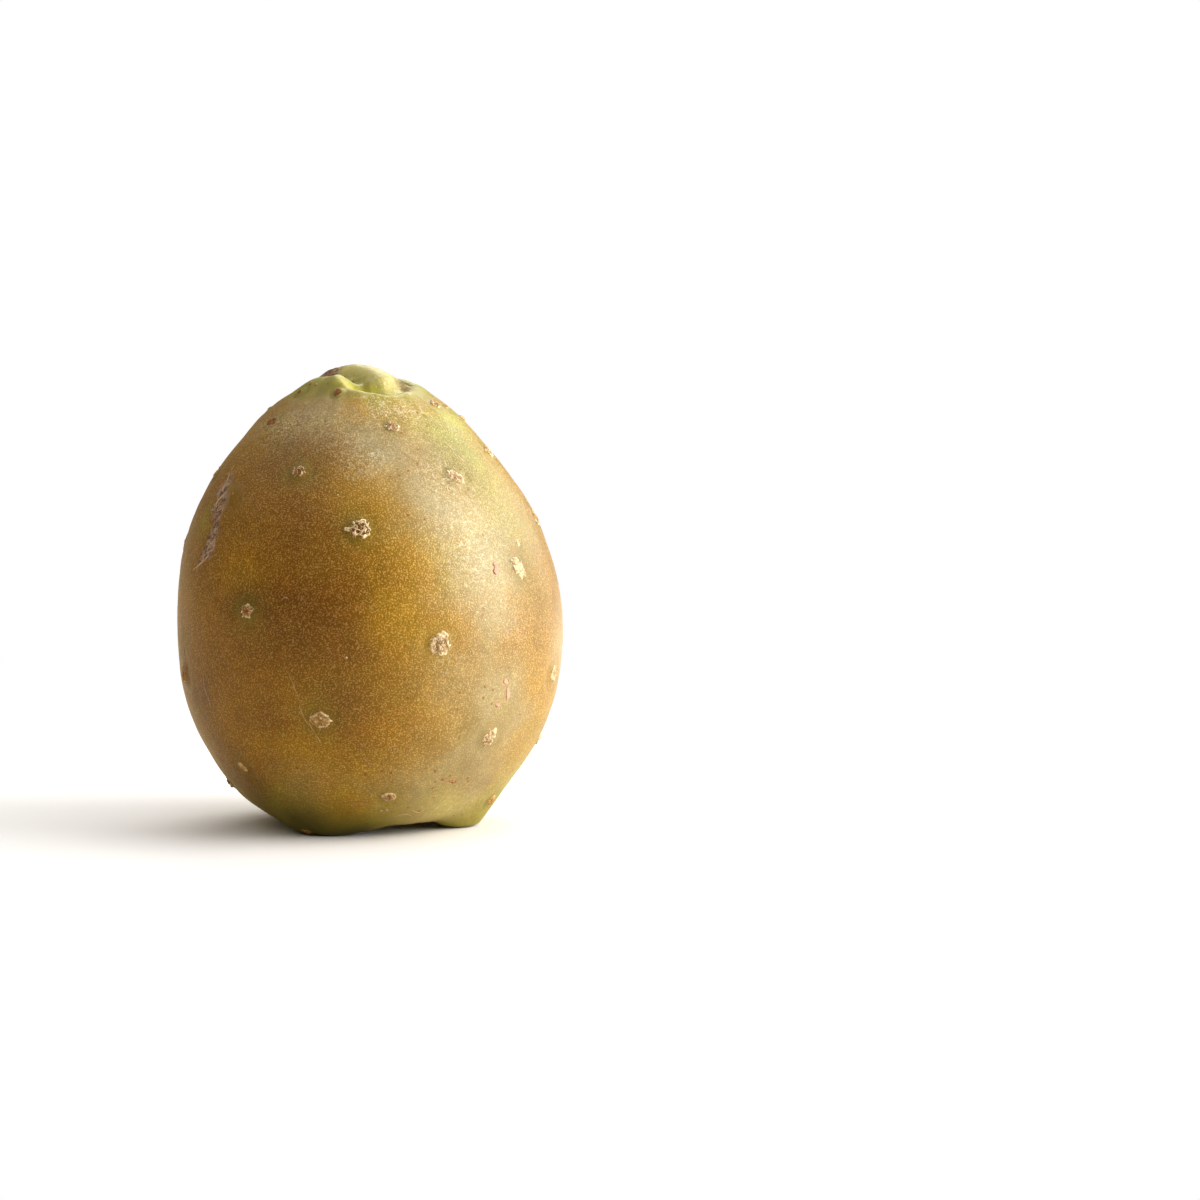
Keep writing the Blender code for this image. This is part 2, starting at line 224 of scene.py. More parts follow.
# Scratches and small scars: tint, half width, then turn and height along them
SCRATCHES = (
    ("tan", 0.04, ((-113, 26.3), (-110, 23.2), (-108, 20.2))),
    ("tan", 0.06, ((-109, 21), (-107.5, 18.6), (-105.5, 17.2))),
    ("tan", 0.075, ((-106, 18), (-105, 16.8), (-103, 15))),
    ("pale", 0.045, ((-57, 58.2), (-53, 57.6), (-48, 57.2))),
    ("pale", 0.035, ((-62, 53.2), (-58, 54.2), (-54, 54.1), (-52, 53.2))),
    ("pale", 0.09, ((-40.5, 57.2), (-39.2, 56.4))),
    ("pale", 0.12, ((-38.6, 55.6), (-37.4, 54.6))),
    ("pale", 0.05, ((-43, 54.6), (-42, 54))),
    ("lilac", 0.24, ((-146.5, 23.6), (-146.2, 21.9), (-145, 20.2), (-144.2, 19.2))),
    ("lilac", 0.16, ((-144.4, 18.4), (-143.8, 17.6))),
    ("rust", 0.22, ((-158, 25.6), (-158.4, 23.6), (-158, 21.6))),
    ("lilac", 0.22, ((-159.6, 27.2), (-160, 25.8))),
    ("pink", 0.3, ((-42.6, 23.6), (-42, 22.6))),
    ("pink", 0.34, ((-41.6, 22.3), (-41, 21.2), (-41.6, 20.4))),
    ("pink", 0.34, ((-46, 19.9), (-44.4, 19.5))),
    ("pink", 0.75, ((-43.6, 40.6), (-43, 39.6), (-42.8, 38.8))),
    ("rust", 0.26, ((-146, 65), (-143, 65.4))),
    ("rust", 0.2, ((-138, 65.8), (-134, 66))),
    ("pale", 0.42, ((-29.8, 43.3), (-29.2, 42.9), (-29.4, 42.3))),
    ("rust", 0.12, ((-100, 6.2), (-92, 6), (-86, 6))),
    ("pale", 0.15, ((-83, 4.4), (-82, 4.2))),
    ("pink", 0.17, ((-80.4, 4.6), (-79.6, 4.2))),
    ("rust", 0.1, ((-89, 12.6), (-87, 11.4))),
    ("pale", 0.09, ((-76, 3), (-70, 3.4), (-66, 2.8))),
    ("pale", 0.08, ((-68, 4), (-64, 3.6), (-61, 4.4))),
    ("lilac", 0.16, ((-107, 1.6), (-103, 1.9), (-99, 1.6))),
    ("lilac", 0.13, ((-96, 1.9), (-93, 1.5))),
    ("pale", 0.07, ((-152.6, 54), (-152, 52.4), (-149.6, 50.8))),
    ("pale", 0.12, ((-147.6, 50.2), (-150.6, 49), (-149.6, 47.9))),
    ("pale", 0.08, ((-145.4, 48.4), (-148.2, 47.9), (-149, 46.8))),
    ("lilac", 0.12, ((-146.4, 47.4), (-147.4, 45.8), (-146.6, 44.4))),
    ("rust", 0.22, ((-148.8, 47), (-149.4, 46.3), (-148.6, 45.8))),
    ("pale", 0.07, ((-143.6, 43.6), (-146.4, 42.9), (-149, 42.6))),
    ("pale", 0.07, ((-143, 42.4), (-146.6, 41.6), (-149.4, 41.2))),
    ("lilac", 0.16, ((-144.6, 41.9), (-147, 41.3), (-148.6, 40.9))),
    ("pale", 0.11, ((-145.6, 41.2), (-149, 40), (-154.4, 38.8))),
    ("rust", 0.14, ((-113.6, 35.8), (-112.4, 36.2), (-111.2, 35.9))),
    ("white", 0.12, ((-94.2, 27.8), (-93.8, 27.6))),
    ("pale", 0.08, ((-96.2, 50.7), (-95.9, 50.5))),
    ("rust", 0.26, ((-90.2, 14.9), (-89.6, 14.5))),
    ("dark", 0.16, ((-81.6, 18.6), (-81, 18.4))),
    ("dark", 0.13, ((-80.2, 14.2), (-79.6, 13.8))),
    ("dark", 0.12, ((-108.2, 56.8), (-107.8, 56.6))),
    ("rust", 0.26, ((-60.2, 8.8), (-58.6, 8.6))),
    ("rust", 0.46, ((-56.4, 8.5), (-54.6, 8.2), (-53.4, 8.6))),
    ("rust", 0.13, ((-37, 30.2), (-34.8, 29.8))),
    ("white", 0.09, ((-53.4, 33.8), (-53, 33.6))),
    ("white", 0.08, ((-50.8, 32.6), (-50.4, 32.4))),
    ("pale", 0.07, ((-96.2, 11.4), (-95.9, 11.2))),
    ("pale", 0.07, ((22, 30), (26, 34), (28, 39))),
    ("rust", 0.16, ((64, 44), (66, 42.4), (65, 41))),
    ("rust", 0.1, ((-118, 63.6), (-117, 63.3))),
    ("lilac", 0.2, ((98, 20), (100, 18.4), (103, 17.6))),
    ("pale", 0.08, ((120, 47), (126, 45), (131, 45.4))),
    ("pink", 0.18, ((150, 33), (152, 31.8), (151, 30.6))),
    ("pale", 0.1, ((172, 18), (176, 20), (177, 23))),
    ("rust", 0.12, ((5, 16), (9, 15.4), (12, 14.4))),
)
SCRATCH_TINTS = {
    "tan": (0.46, 0.27, 0.1), "pale": (0.66, 0.47, 0.25), "lilac": (0.3, 0.17, 0.15),
    "rust": (0.36, 0.13, 0.045), "pink": (0.62, 0.3, 0.19), "white": (0.95, 0.82, 0.58),
    "dark": (0.085, 0.022, 0.016),
}

# Brown bands of the flower scar: spread, then x, y and amount along each
SCAR_BANDS = (
    (1.5, ((-6.8, -1.6, 0.5), (-5, 1, 1), (-3.3, 3.5, 1), (-0.6, 3.9, 0.9), (1.6, 2.4, 0.5))),
    (1.6, ((6.9, -3, 0.9), (6, -0.4, 1), (4, 3.4, 1), (1, 5.4, 1))),
)

# Dry tissue of the flower scar: x and y from the middle of the top, half sizes, tilt
TISSUE = (
    (-4.4, 1.4, 2.3, 1.25, 40), (-2.6, 4.9, 2.3, 1.15, -35), (-6.2, -0.9, 1.2, 0.8, 70),
    (5.5, 1.5, 1.7, 1.2, 110), (2.7, 4.7, 2.1, 1.2, 140), (-0.2, 6, 1.6, 0.9, -10),
    (-1.6, -1.9, 1.5, 0.8, 140),
)
STEM_CORK_REACH = 5.9


# Shape

def unit(value):
    """Values held between 0 and 1."""
    return np.clip(value, 0.0, 1.0)


def smooth_step(low, high, value):
    """0 below low, 1 above high, and an even S between them."""
    share = unit((value - low) / (high - low))
    return share * share * (3.0 - 2.0 * share)


def bell(distance, spread):
    """Round bump of height 1: e to the minus square of distance over spread."""
    return np.exp(-(distance / spread) ** 2)


def angles_round(sides):
    """Even angles round a full turn, from 0."""
    return np.linspace(0.0, 2.0 * math.pi, sides, endpoint=False)


def ring_places(angle, size, third):
    """Places on circles of one size, where noise closes on itself round the circle."""
    return np.stack(np.broadcast_arrays(np.cos(angle) * size, np.sin(angle) * size, third), axis=-1)


def tilted(wide, tall, tilt):
    """Two distances on a plane, turned by an angle: products with its cosine and sine."""
    return wide * np.cos(tilt) - tall * np.sin(tilt), wide * np.sin(tilt) + tall * np.cos(tilt)


def along(points, share):
    """Catmull-Rom curve through evenly spaced points, read at shares 0 to 1 of its length."""
    points = np.asarray(points, float)
    last = len(points) - 1
    place = unit(share) * last
    left = np.minimum(place.astype(int), last - 1)
    step = (place - left)[..., None]
    before = points[np.maximum(left - 1, 0)]
    start = points[left]
    end = points[left + 1]
    after = points[np.minimum(left + 2, last)]
    linear = end - before
    square = 2.0 * before - 5.0 * start + 4.0 * end - after
    cube = 3.0 * start - before - 3.0 * end + after
    return 0.5 * (2.0 * start + (linear + (square + cube * step) * step) * step)


def crest_lift(x, y, crests):
    """Rounded ridges along their crests: the fourth root of the sum of their fourth powers."""
    total = np.zeros_like(x)
    for spread, points in crests:
        crest = along(points, np.linspace(0.0, 1.0, 8 * len(points)))
        gaps = np.hypot(x[..., None] - crest[:, 0], y[..., None] - crest[:, 1])
        lifts = crest[:, 2] * np.exp(-(gaps / spread) ** FOLD_FULLNESS)
        total += lifts.max(axis=-1) ** 4
    return total ** 0.25


def base_drop(x, y):
    """How far the rim of the stem scar and the three lobes hang below the plain base."""
    scar_radius, scar_width, scar_drop = STEM_SCAR
    drop = scar_drop * bell(np.hypot(x, y) - scar_radius, scar_width)
    for lobe_x, lobe_y, depth, spread in BASE_LOBES:
        drop = drop + depth * bell(np.hypot(x - lobe_x, y - lobe_y), spread)
    return drop


def pressed_flat(height):
    """Height with all that is under the surface flattened onto it, by a smooth maximum."""
    eased = (height + FLAT_EASE) ** 2 / (4.0 * FLAT_EASE)
    return np.where(height > FLAT_EASE, height, np.where(height < -FLAT_EASE, 0.0, eased))


def body_points(turn, climb):
    """The solid's own form: the meridian turned round the axis, with swells, folds and lobes."""
    outline = along(MERIDIAN, climb)
    radius = outline[..., 0] * WIDTH / 2
    height = outline[..., 1] * BODY_HEIGHT
    side = np.sin(math.pi * climb)
    for share, waves, phase, twist in SWELLS:
        radius = radius * (1.0 + share * side * np.sin(waves * turn + phase + twist * height))
    x = radius * np.cos(turn)
    y = radius * np.sin(turn) * DEPTH / WIDTH
    on_top = crest_lift(x, y, FOLDS) - crest_lift(x, y, HOLLOWS)
    height = pressed_flat(height + np.where(climb > 0.5, on_top, -base_drop(x, y)))
    lean = LEAN * smooth_step(LEAN_FROM, LEAN_TO, height)
    return np.stack([x + lean, y, height], axis=-1)


def climb_at(height):
    """Climb of the side at a height over the base, from the lowest to the rim."""
    climbs = np.linspace(BASE_CLIMB, RIM_CLIMB, 400)
    heights = along(MERIDIAN, climbs)[:, 1] * BODY_HEIGHT
    return np.interp(height, heights, climbs)


def lengthwise(vectors):
    """Vectors scaled to length 1."""
    return vectors / np.maximum(np.linalg.norm(vectors, axis=-1, keepdims=True), 1e-9)


def outward_of(turn, climb):
    """Outward direction of the body: its change with turn crossed with its change with climb."""
    nudge = 0.003
    inner = np.clip(climb, 2 * nudge, 1.0 - 2 * nudge)
    round_it = body_points(turn + nudge, inner) - body_points(turn - nudge, inner)
    up_it = body_points(turn, inner + nudge) - body_points(turn, inner - nudge)
    return lengthwise(np.cross(round_it, up_it))


def random_values(cells, factors, shift):
    """Random values from 0 to 1 of cells: what is behind the point of a large multiple of the
    sine of their coordinates times factors, summed and shifted."""
    mixed = np.sin(cells @ np.array(factors) + shift) * 43758.5453
    return mixed - np.floor(mixed)


def bumps(points, size, seed):
    """Smooth random bumps from -1 to 1: random values at the corners of cubes of that size,
    blended by eased shares of the way between them."""
    place = points / size + seed * 3.17
    cell = np.floor(place)
    step = place - cell
    step = step * step * (3.0 - 2.0 * step)
    total = np.zeros(points.shape[:-1])
    for corner in itertools.product((0.0, 1.0), repeat=3):
        corner = np.array(corner)
        value = random_values(cell + corner, (12.9898, 78.233, 37.719), seed * 1.618)
        value = 2.0 * value - 1.0
        shares = np.where(corner > 0.5, step, 1.0 - step)
        total += value * shares.prod(axis=-1)
    return total


def chips(across, up, size, seed):
    """Broken chips on a plane: for each spot the random height and slope of the nearest of
    jittered centres, and how much nearer that one is than the second nearest."""
    spot = np.stack([across, up], axis=-1) / size
    cell = np.floor(spot)
    best = np.full(across.shape, 9.0)
    second = np.full(across.shape, 9.0)
    lift = np.zeros(across.shape)
    for corner in itertools.product((-1.0, 0.0, 1.0), repeat=2):
        home = cell + np.array(corner)
        draws = []
        for factors in ((127.1, 311.7), (269.5, 183.3), (419.2, 371.9), (97.3, 157.9)):
            draws.append(random_values(home, factors, seed * 5.77))
        middle = home + 0.15 + 0.7 * np.stack(draws[:2], axis=-1)
        gap = spot - middle
        distance = np.hypot(gap[..., 0], gap[..., 1])
        slope = (draws[2] - 0.5) * gap[..., 0] + (draws[3] - 0.5) * gap[..., 1]
        height = draws[2] - 0.5 + 1.6 * slope
        nearer = distance < best
        second = np.where(nearer, best, np.minimum(second, distance))
        lift = np.where(nearer, height, lift)
        best = np.where(nearer, distance, best)
    return lift, second - best


# Areoles

def areole_places():
    """Number, turn and height of each areole: the spiral's rule, or the place seen in front."""
    draw = random.Random(SEED)
    numbers = [number for number, _ in SPIRAL_HEIGHTS]
    heights = [height for _, height in SPIRAL_HEIGHTS]
    places = []
    for number in range(numbers[0], numbers[-1] + 1):
        turn_jitter = draw.uniform(-1.0, 1.0) * SPIRAL_JITTER[0]
        height_jitter = draw.uniform(-1.0, 1.0) * SPIRAL_JITTER[1]
        turn = SPIRAL_TURN + GOLDEN_TURN * number + turn_jitter
        height = float(np.interp(number, numbers, heights)) + height_jitter
        if number in FRONT_AREOLES:
            turn, height = FRONT_AREOLES[number]
        places.append((number, math.radians(turn), height))
    return places


def areole_looks(places):
    """The ten looks of each areole and its crust: those of the front as seen, and the others
    drawn so that the high ones are dark spots."""
    draw = random.Random(SEED + 1)
    looks = []
    for number, _, height in places:
        size = float(np.interp(height, *zip(*AREOLE_SIZES)))
        age = float(np.interp(height, *zip(*AREOLE_AGES)))
        drawn = (
            size * draw.uniform(1.05, 1.7), size * draw.uniform(0.9, 1.45), draw.uniform(-40, 40),
            draw.uniform(0.1, 0.32), min(1.0, age * draw.uniform(0.3, 1.2)), draw.uniform(0.2, 0.9),
            draw.uniform(0.0, 1.0), draw.uniform(0.5, 1.0), draw.uniform(0.0, 0.8),
            draw.uniform(0.3, 1.0),
        )
        looks.append(CRUSTS.get(number, drawn))
    return np.array(looks, float)


class Areoles:
    """All the areoles as arrays: their places, directions, steps of turn and climb for one
    millimetre sideways and uphill, and looks."""

    def __init__(self):
        places = areole_places()
        self.turn = np.array([place[1] for place in places])
        self.height = np.array([place[2] for place in places])
        self.climb = climb_at(self.height)
        nudge = 0.004
        left = body_points(self.turn - nudge, self.climb)
        right = body_points(self.turn + nudge, self.climb)
        below = body_points(self.turn, self.climb - nudge)
        above = body_points(self.turn, self.climb + nudge)
        self.middle = body_points(self.turn, self.climb)
        self.turn_per_mm = 2 * nudge / np.linalg.norm(right - left, axis=-1)
        self.climb_per_mm = 2 * nudge / np.linalg.norm(above - below, axis=-1)
        self.sideways = lengthwise(right - left)
        self.outward = lengthwise(np.cross(self.sideways, above - below))
        self.uphill = np.cross(self.outward, self.sideways)
        looks = areole_looks(places)
        self.half_width, self.half_height, tilt, self.spiky, self.age, self.wool = looks.T[:6]
        self.open, self.rough, self.core, self.halo = looks.T[6:]
        self.tilt = np.radians(tilt)
        self.size = np.interp(self.height, *zip(*AREOLE_SIZES))

    def lie_on_skin(self, index, across, up):
        """Skin points beside areoles: sideways and uphill distances as steps of turn, climb."""
        turn = self.turn[index] + across * self.turn_per_mm[index]
        climb = self.climb[index] + up * self.climb_per_mm[index]
        return skin_points(turn, climb)


AREOLES = Areoles()


def nearest_areole(points):
    """Distance over areole size to the nearest areole, and its index."""
    gaps = np.linalg.norm(points[..., None, :] - AREOLES.middle, axis=-1) / AREOLES.size
    index = gaps.argmin(axis=-1)
    return gaps.min(axis=-1), index


def graze_share(points):
    """1 on the middle line of the rubbed scar, fading to 0 at its ragged sides and ends."""
    turn, height = along(np.array(GRAZE, float), np.linspace(0.0, 1.0, GRAZE_STEPS)).T
    line = body_points(np.radians(turn), climb_at(height))
    middle = line[GRAZE_STEPS // 2]
    near = np.flatnonzero(np.linalg.norm(points - middle, axis=-1) < GRAZE_REACH)
    gaps = np.linalg.norm(points[near, None, :] - line, axis=-1)
    ends = np.interp(gaps.argmin(axis=-1), *zip(*GRAZE_ENDS))
    ragged = 1.0 + 0.55 * bumps(points[near], 1.1, 31) + 0.45 * bumps(points[near], 0.5, 32)
    worn = 0.72 + 0.5 * bumps(points[near] * np.array([1.0, 1.0, 2.2]), 1.0, 33)
    share = np.zeros(len(points))
    inside = 1.0 - smooth_step(0.45, 1.25, gaps.min(axis=-1) / (GRAZE_HALF_WIDTH * ends * ragged))
    share[near] = unit(inside * worn * 1.3)
    return share


def skin_points(turn, climb):
    """Finished skin: the body plus a relief along its outward direction. The relief adds soft
    lumps, a cushion and a shallow ring at each areole, wrinkles that run in over the rim,
    the crumpled floor of the flower scar and the sunken graze; it stays within the solid."""
    shape = np.shape(turn)
    turn, climb = np.ravel(turn), np.ravel(climb)
    points = body_points(turn, climb)
    outward = outward_of(turn, climb)
    lumps = 0.09 * bumps(points, 7.0, 1) + 0.045 * bumps(points, 3.0, 2)
    relief = lumps + 0.018 * bumps(points, 1.3, 3) - 0.14
    gap, index = nearest_areole(points)
    plain_gap = gap * AREOLES.size[index]
    relief += CUSHION_LIFT * bell(plain_gap, CUSHION_SPREAD) - 0.14 * bell(gap - 2.3, 0.8)
    from_axis = np.hypot(points[:, 0] - LEAN, points[:, 1])
    rim = smooth_step(0.74, 0.8, climb) * (1.0 - smooth_step(0.9, 0.95, climb))
    strands = ring_places(turn, 7.5, climb * 9.0)
    relief += 0.08 * rim * bumps(strands, 1.0, 4) + 0.02 * rim * bumps(strands, 0.5, 5)
    floor = smooth_step(0.9, 0.95, climb)
    folds = unit(crest_lift(points[:, 0] - LEAN, points[:, 1], FOLDS[:2]) / 2.0)
    crumples = 0.22 * bumps(points, 1.5, 6) + 0.12 * bumps(points, 0.7, 7)
    relief += floor * (1.0 - 0.85 * folds) * crumples
    under = 1.0 - smooth_step(0.14, 0.24, climb)
    spokes = ring_places(turn, 6.0, climb * 12.0)
    relief += 0.16 * under * bumps(spokes, 1.0, 8) * smooth_step(4.0, 7.0, from_axis)
    graze = graze_share(points)
    relief -= graze * (0.13 + 0.1 * bumps(points, 0.8, 9) + 0.06 * bumps(points, 0.4, 10))
    lifted = points + outward * relief[:, None]
    lifted[:, 2] = np.where(points[:, 2] < 0.9, np.maximum(lifted[:, 2], points[:, 2]), lifted[:, 2])
    return lifted.reshape(shape + (3,))


def over_skin(turn, climb, height):
    """Points at a height over the finished skin, along the body's outward direction."""
    return skin_points(turn, climb) + outward_of(turn, climb) * height


# From the shape's own middle to the solid's
SHAPE_MIDDLE = np.array([0.16, -0.015, 0.0])


def inside_solid(points):
    """Millimetres to the frame's metres, held within the solid's box."""
    return np.clip((points - SHAPE_MIDDLE) * MM, np.array(cad_low), np.array(cad_high))


# Meshes

def ring_faces(copies, rings, sides):
    """Faces of closed bodies made of rings of points between two poles: four-sided faces from
    ring to ring and three-sided ones at the poles, which are each body's last two points."""
    ring = np.arange(rings - 1)[:, None] * sides
    side = np.arange(sides)[None, :]
    after = (side + 1) % sides
    quads = np.stack([ring + side, ring + after, ring + sides + after, ring + sides + side], axis=-1)
    quads = quads.reshape(-1, 4)
    first = np.arange(sides)
    second = (first + 1) % sides
    low_pole = np.stack([np.full(sides, rings * sides), second, first], axis=-1)
    top = (rings - 1) * sides
    high_pole = np.stack([np.full(sides, rings * sides + 1), top + first, top + second], axis=-1)
    tris = np.concatenate([low_pole, high_pole])
    starts = np.arange(copies) * (rings * sides + 2)
    quads = (quads[None] + starts[:, None, None]).reshape(-1, 4)
    tris = (tris[None] + starts[:, None, None]).reshape(-1, 3)
    return quads, tris


def with_poles(rings_of_points, low, high):
    """Points of closed bodies in the order that their faces expect: rings, then two poles."""
    copies = rings_of_points.shape[0]
    body = rings_of_points.reshape(copies, -1, rings_of_points.shape[-1])
    return np.concatenate([body, low[:, None, :], high[:, None, :]], axis=1)


def pole_means(values):
    """The means of the first and last ring of each body."""
    return values[:, 0].mean(axis=1), values[:, -1].mean(axis=1)


def mask_with_poles(values):
    """Mask of bodies made of rings: at the poles it has the mean of the ring beside each."""
    return with_poles(values[..., None], *(mean[:, None] for mean in pole_means(values)))[..., 0]


def make_piece(name, bodies, rings, sides, material, masks=None, tints=None):
    """One mesh of closed bodies, its vertex masks and tints, riding on the fruit's body."""
    quads, tris = ring_faces(len(bodies), rings, sides)
    points = inside_solid(bodies.reshape(-1, 3))
    mesh = bpy.data.meshes.new(name)
    mesh.vertices.add(len(points))
    mesh.vertices.foreach_set("co", points.astype(np.float32).ravel())
    corners = np.concatenate([quads.ravel(), tris.ravel()]).astype(np.int32)
    mesh.loops.add(len(corners))
    mesh.loops.foreach_set("vertex_index", corners)
    starts = np.concatenate([np.arange(len(quads)) * 4, len(quads) * 4 + np.arange(len(tris)) * 3])
    mesh.polygons.add(len(starts))
    mesh.polygons.foreach_set("loop_start", starts.astype(np.int32))
    mesh.update(calc_edges=True)
    mesh.validate()
    mesh.shade_smooth()
    for mask, values in (masks or {}).items():
        layer = mesh.attributes.new(mask, "FLOAT", "POINT")
        layer.data.foreach_set("value", np.ascontiguousarray(values, np.float32).ravel())
    if tints is not None:
        layer = mesh.attributes.new("tint", "FLOAT_COLOR", "POINT")
        colours = np.concatenate([tints.reshape(-1, 3), np.ones((tints.size // 3, 1))], axis=1)
        layer.data.foreach_set("color", colours.astype(np.float32).ravel())
    mesh.materials.append(material)
    piece = bpy.data.objects.new(name, mesh)
    bpy.context.scene.collection.objects.link(piece)
    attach(piece, "root")
    return piece


def patch_share(points, patches, seed):
    """Sum of soft round patches, each the bell of a distance that noise makes uneven."""
    uneven = 1.0 + 0.3 * bumps(points, 8.0, seed) + 0.15 * bumps(points, 3.5, seed + 1)
    total = np.zeros(len(points))
    for turn, height, spread, amount in patches:
        climb = LOW_CLIMB if height < LOW_HEIGHT else climb_at(height)
        middle = body_points(np.array([math.radians(turn)]), np.array([climb]))[0]
        total += amount * bell(np.linalg.norm(points - middle, axis=-1) * uneven, spread)
    return unit(total)


def patch_shares(points):
    """Share of each kind of patch, by its name, each with noise of its own."""
    shares = {}
    for number, (name, patches) in enumerate(PATCHES.items()):
        shares[name] = patch_share(points, patches, 51 + 2 * number)
    return shares


SKIN_SIDES = 480
SKIN_RINGS = 204


def skin_piece(material):
    """The whole skin: rings of climb, closer together over the rim and the flower scar, by
    columns of turn, with the masks that its material reads."""
    steps = np.linspace(0.0, 1.0, 2000)
    closeness = 1.0 + 1.3 * smooth_step(0.8, 0.88, steps)
    reach = np.concatenate([[0.0], np.cumsum((closeness[1:] + closeness[:-1]) / 2)])
    climbs = np.interp(np.linspace(0.0, 1.0, SKIN_RINGS + 2), reach / reach[-1], steps)
    turns = angles_round(SKIN_SIDES)
    climb, turn = np.meshgrid(climbs[1:-1], turns, indexing="ij")
    rings = skin_points(turn, climb)
    poles = skin_points(np.zeros(2), np.array([0.0005, 0.9995]))
    bodies = with_poles(rings[None], poles[:1], poles[1:])
    points = bodies.reshape(-1, 3)
    climb = np.concatenate([climb.ravel(), [0.0, 1.0]])
    from_axis = np.hypot(points[:, 0] - LEAN, points[:, 1])
    gap, index = nearest_areole(points)
    uneven = 1.0 + 0.25 * bumps(points, 1.4, 41)
    top_x, top_y = points[:, 0] - LEAN, points[:, 1]
    on_top = smooth_step(0.8, 0.86, climb)
    crease = on_top * unit(crest_lift(top_x, top_y, HOLLOWS[:1]) / 1.2)
    crease *= 1.0 - 0.85 * smooth_step(1.6, 4.0, top_x)
    tip = on_top * bell(np.hypot(top_x - 4.9, top_y + 5.0), 1.9)
    folds = on_top * unit(crest_lift(top_x, top_y, FOLDS[1:2]) / 2.2)
    lobe = on_top * 0.12 * unit(crest_lift(top_x, top_y, FOLDS[:1]) / 1.6)
    scar = on_top * unit(crest_lift(top_x, top_y, SCAR_BANDS))
    ends = smooth_step(0.76, 0.86, climb) + 1.0 - smooth_step(0.17, 0.27, climb)
    masks = patch_shares(points)
    light = masks.pop("light")
    masks["green"] = unit(masks["green"] + 0.85 * on_top)
    masks["bloom"] = unit(masks["bloom"] + 0.35 * folds + 0.9 * tip)
    # The fold mask: the folds and tip of the top, and the light patches low on the base; its colour is
    # partly painted light.
    masks["fold"] = unit(np.maximum(folds, lobe) + 0.4 * tip + light)
    masks["crease"] = crease
    masks["halo"] = bell(gap * uneven, 2.7) * AREOLES.halo[index]
    masks["grain"] = unit(1.0 - ends) * (1.0 - 0.85 * bell(gap, 2.2)) * (1.0 - 0.55 * masks["pale"])
    masks["scar"] = unit(scar * (0.9 + 0.8 * bumps(points, 0.8, 43)))
    masks["graze"] = graze_share(points)
    masks["under"] = 1.0 - smooth_step(7.0, 13.0, from_axis + 40.0 * smooth_step(0.2, 0.4, climb))
    piece = make_piece("skin", bodies, SKIN_RINGS, SKIN_SIDES, material, masks)
    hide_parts("fruit")
    return piece


CRUST_SIDES = 72
CRUST_RINGS = 20


def lens_grid(rings, sides, innermost):
    """Shares of the way out and angles of the rings of a lens: from the edge, which comes
    twice, to the innermost ring."""
    share = np.concatenate([np.linspace(innermost, 1.0, rings - 1), [1.0]])[None, ::-1, None]
    return share, angles_round(sides)[None, None, :]


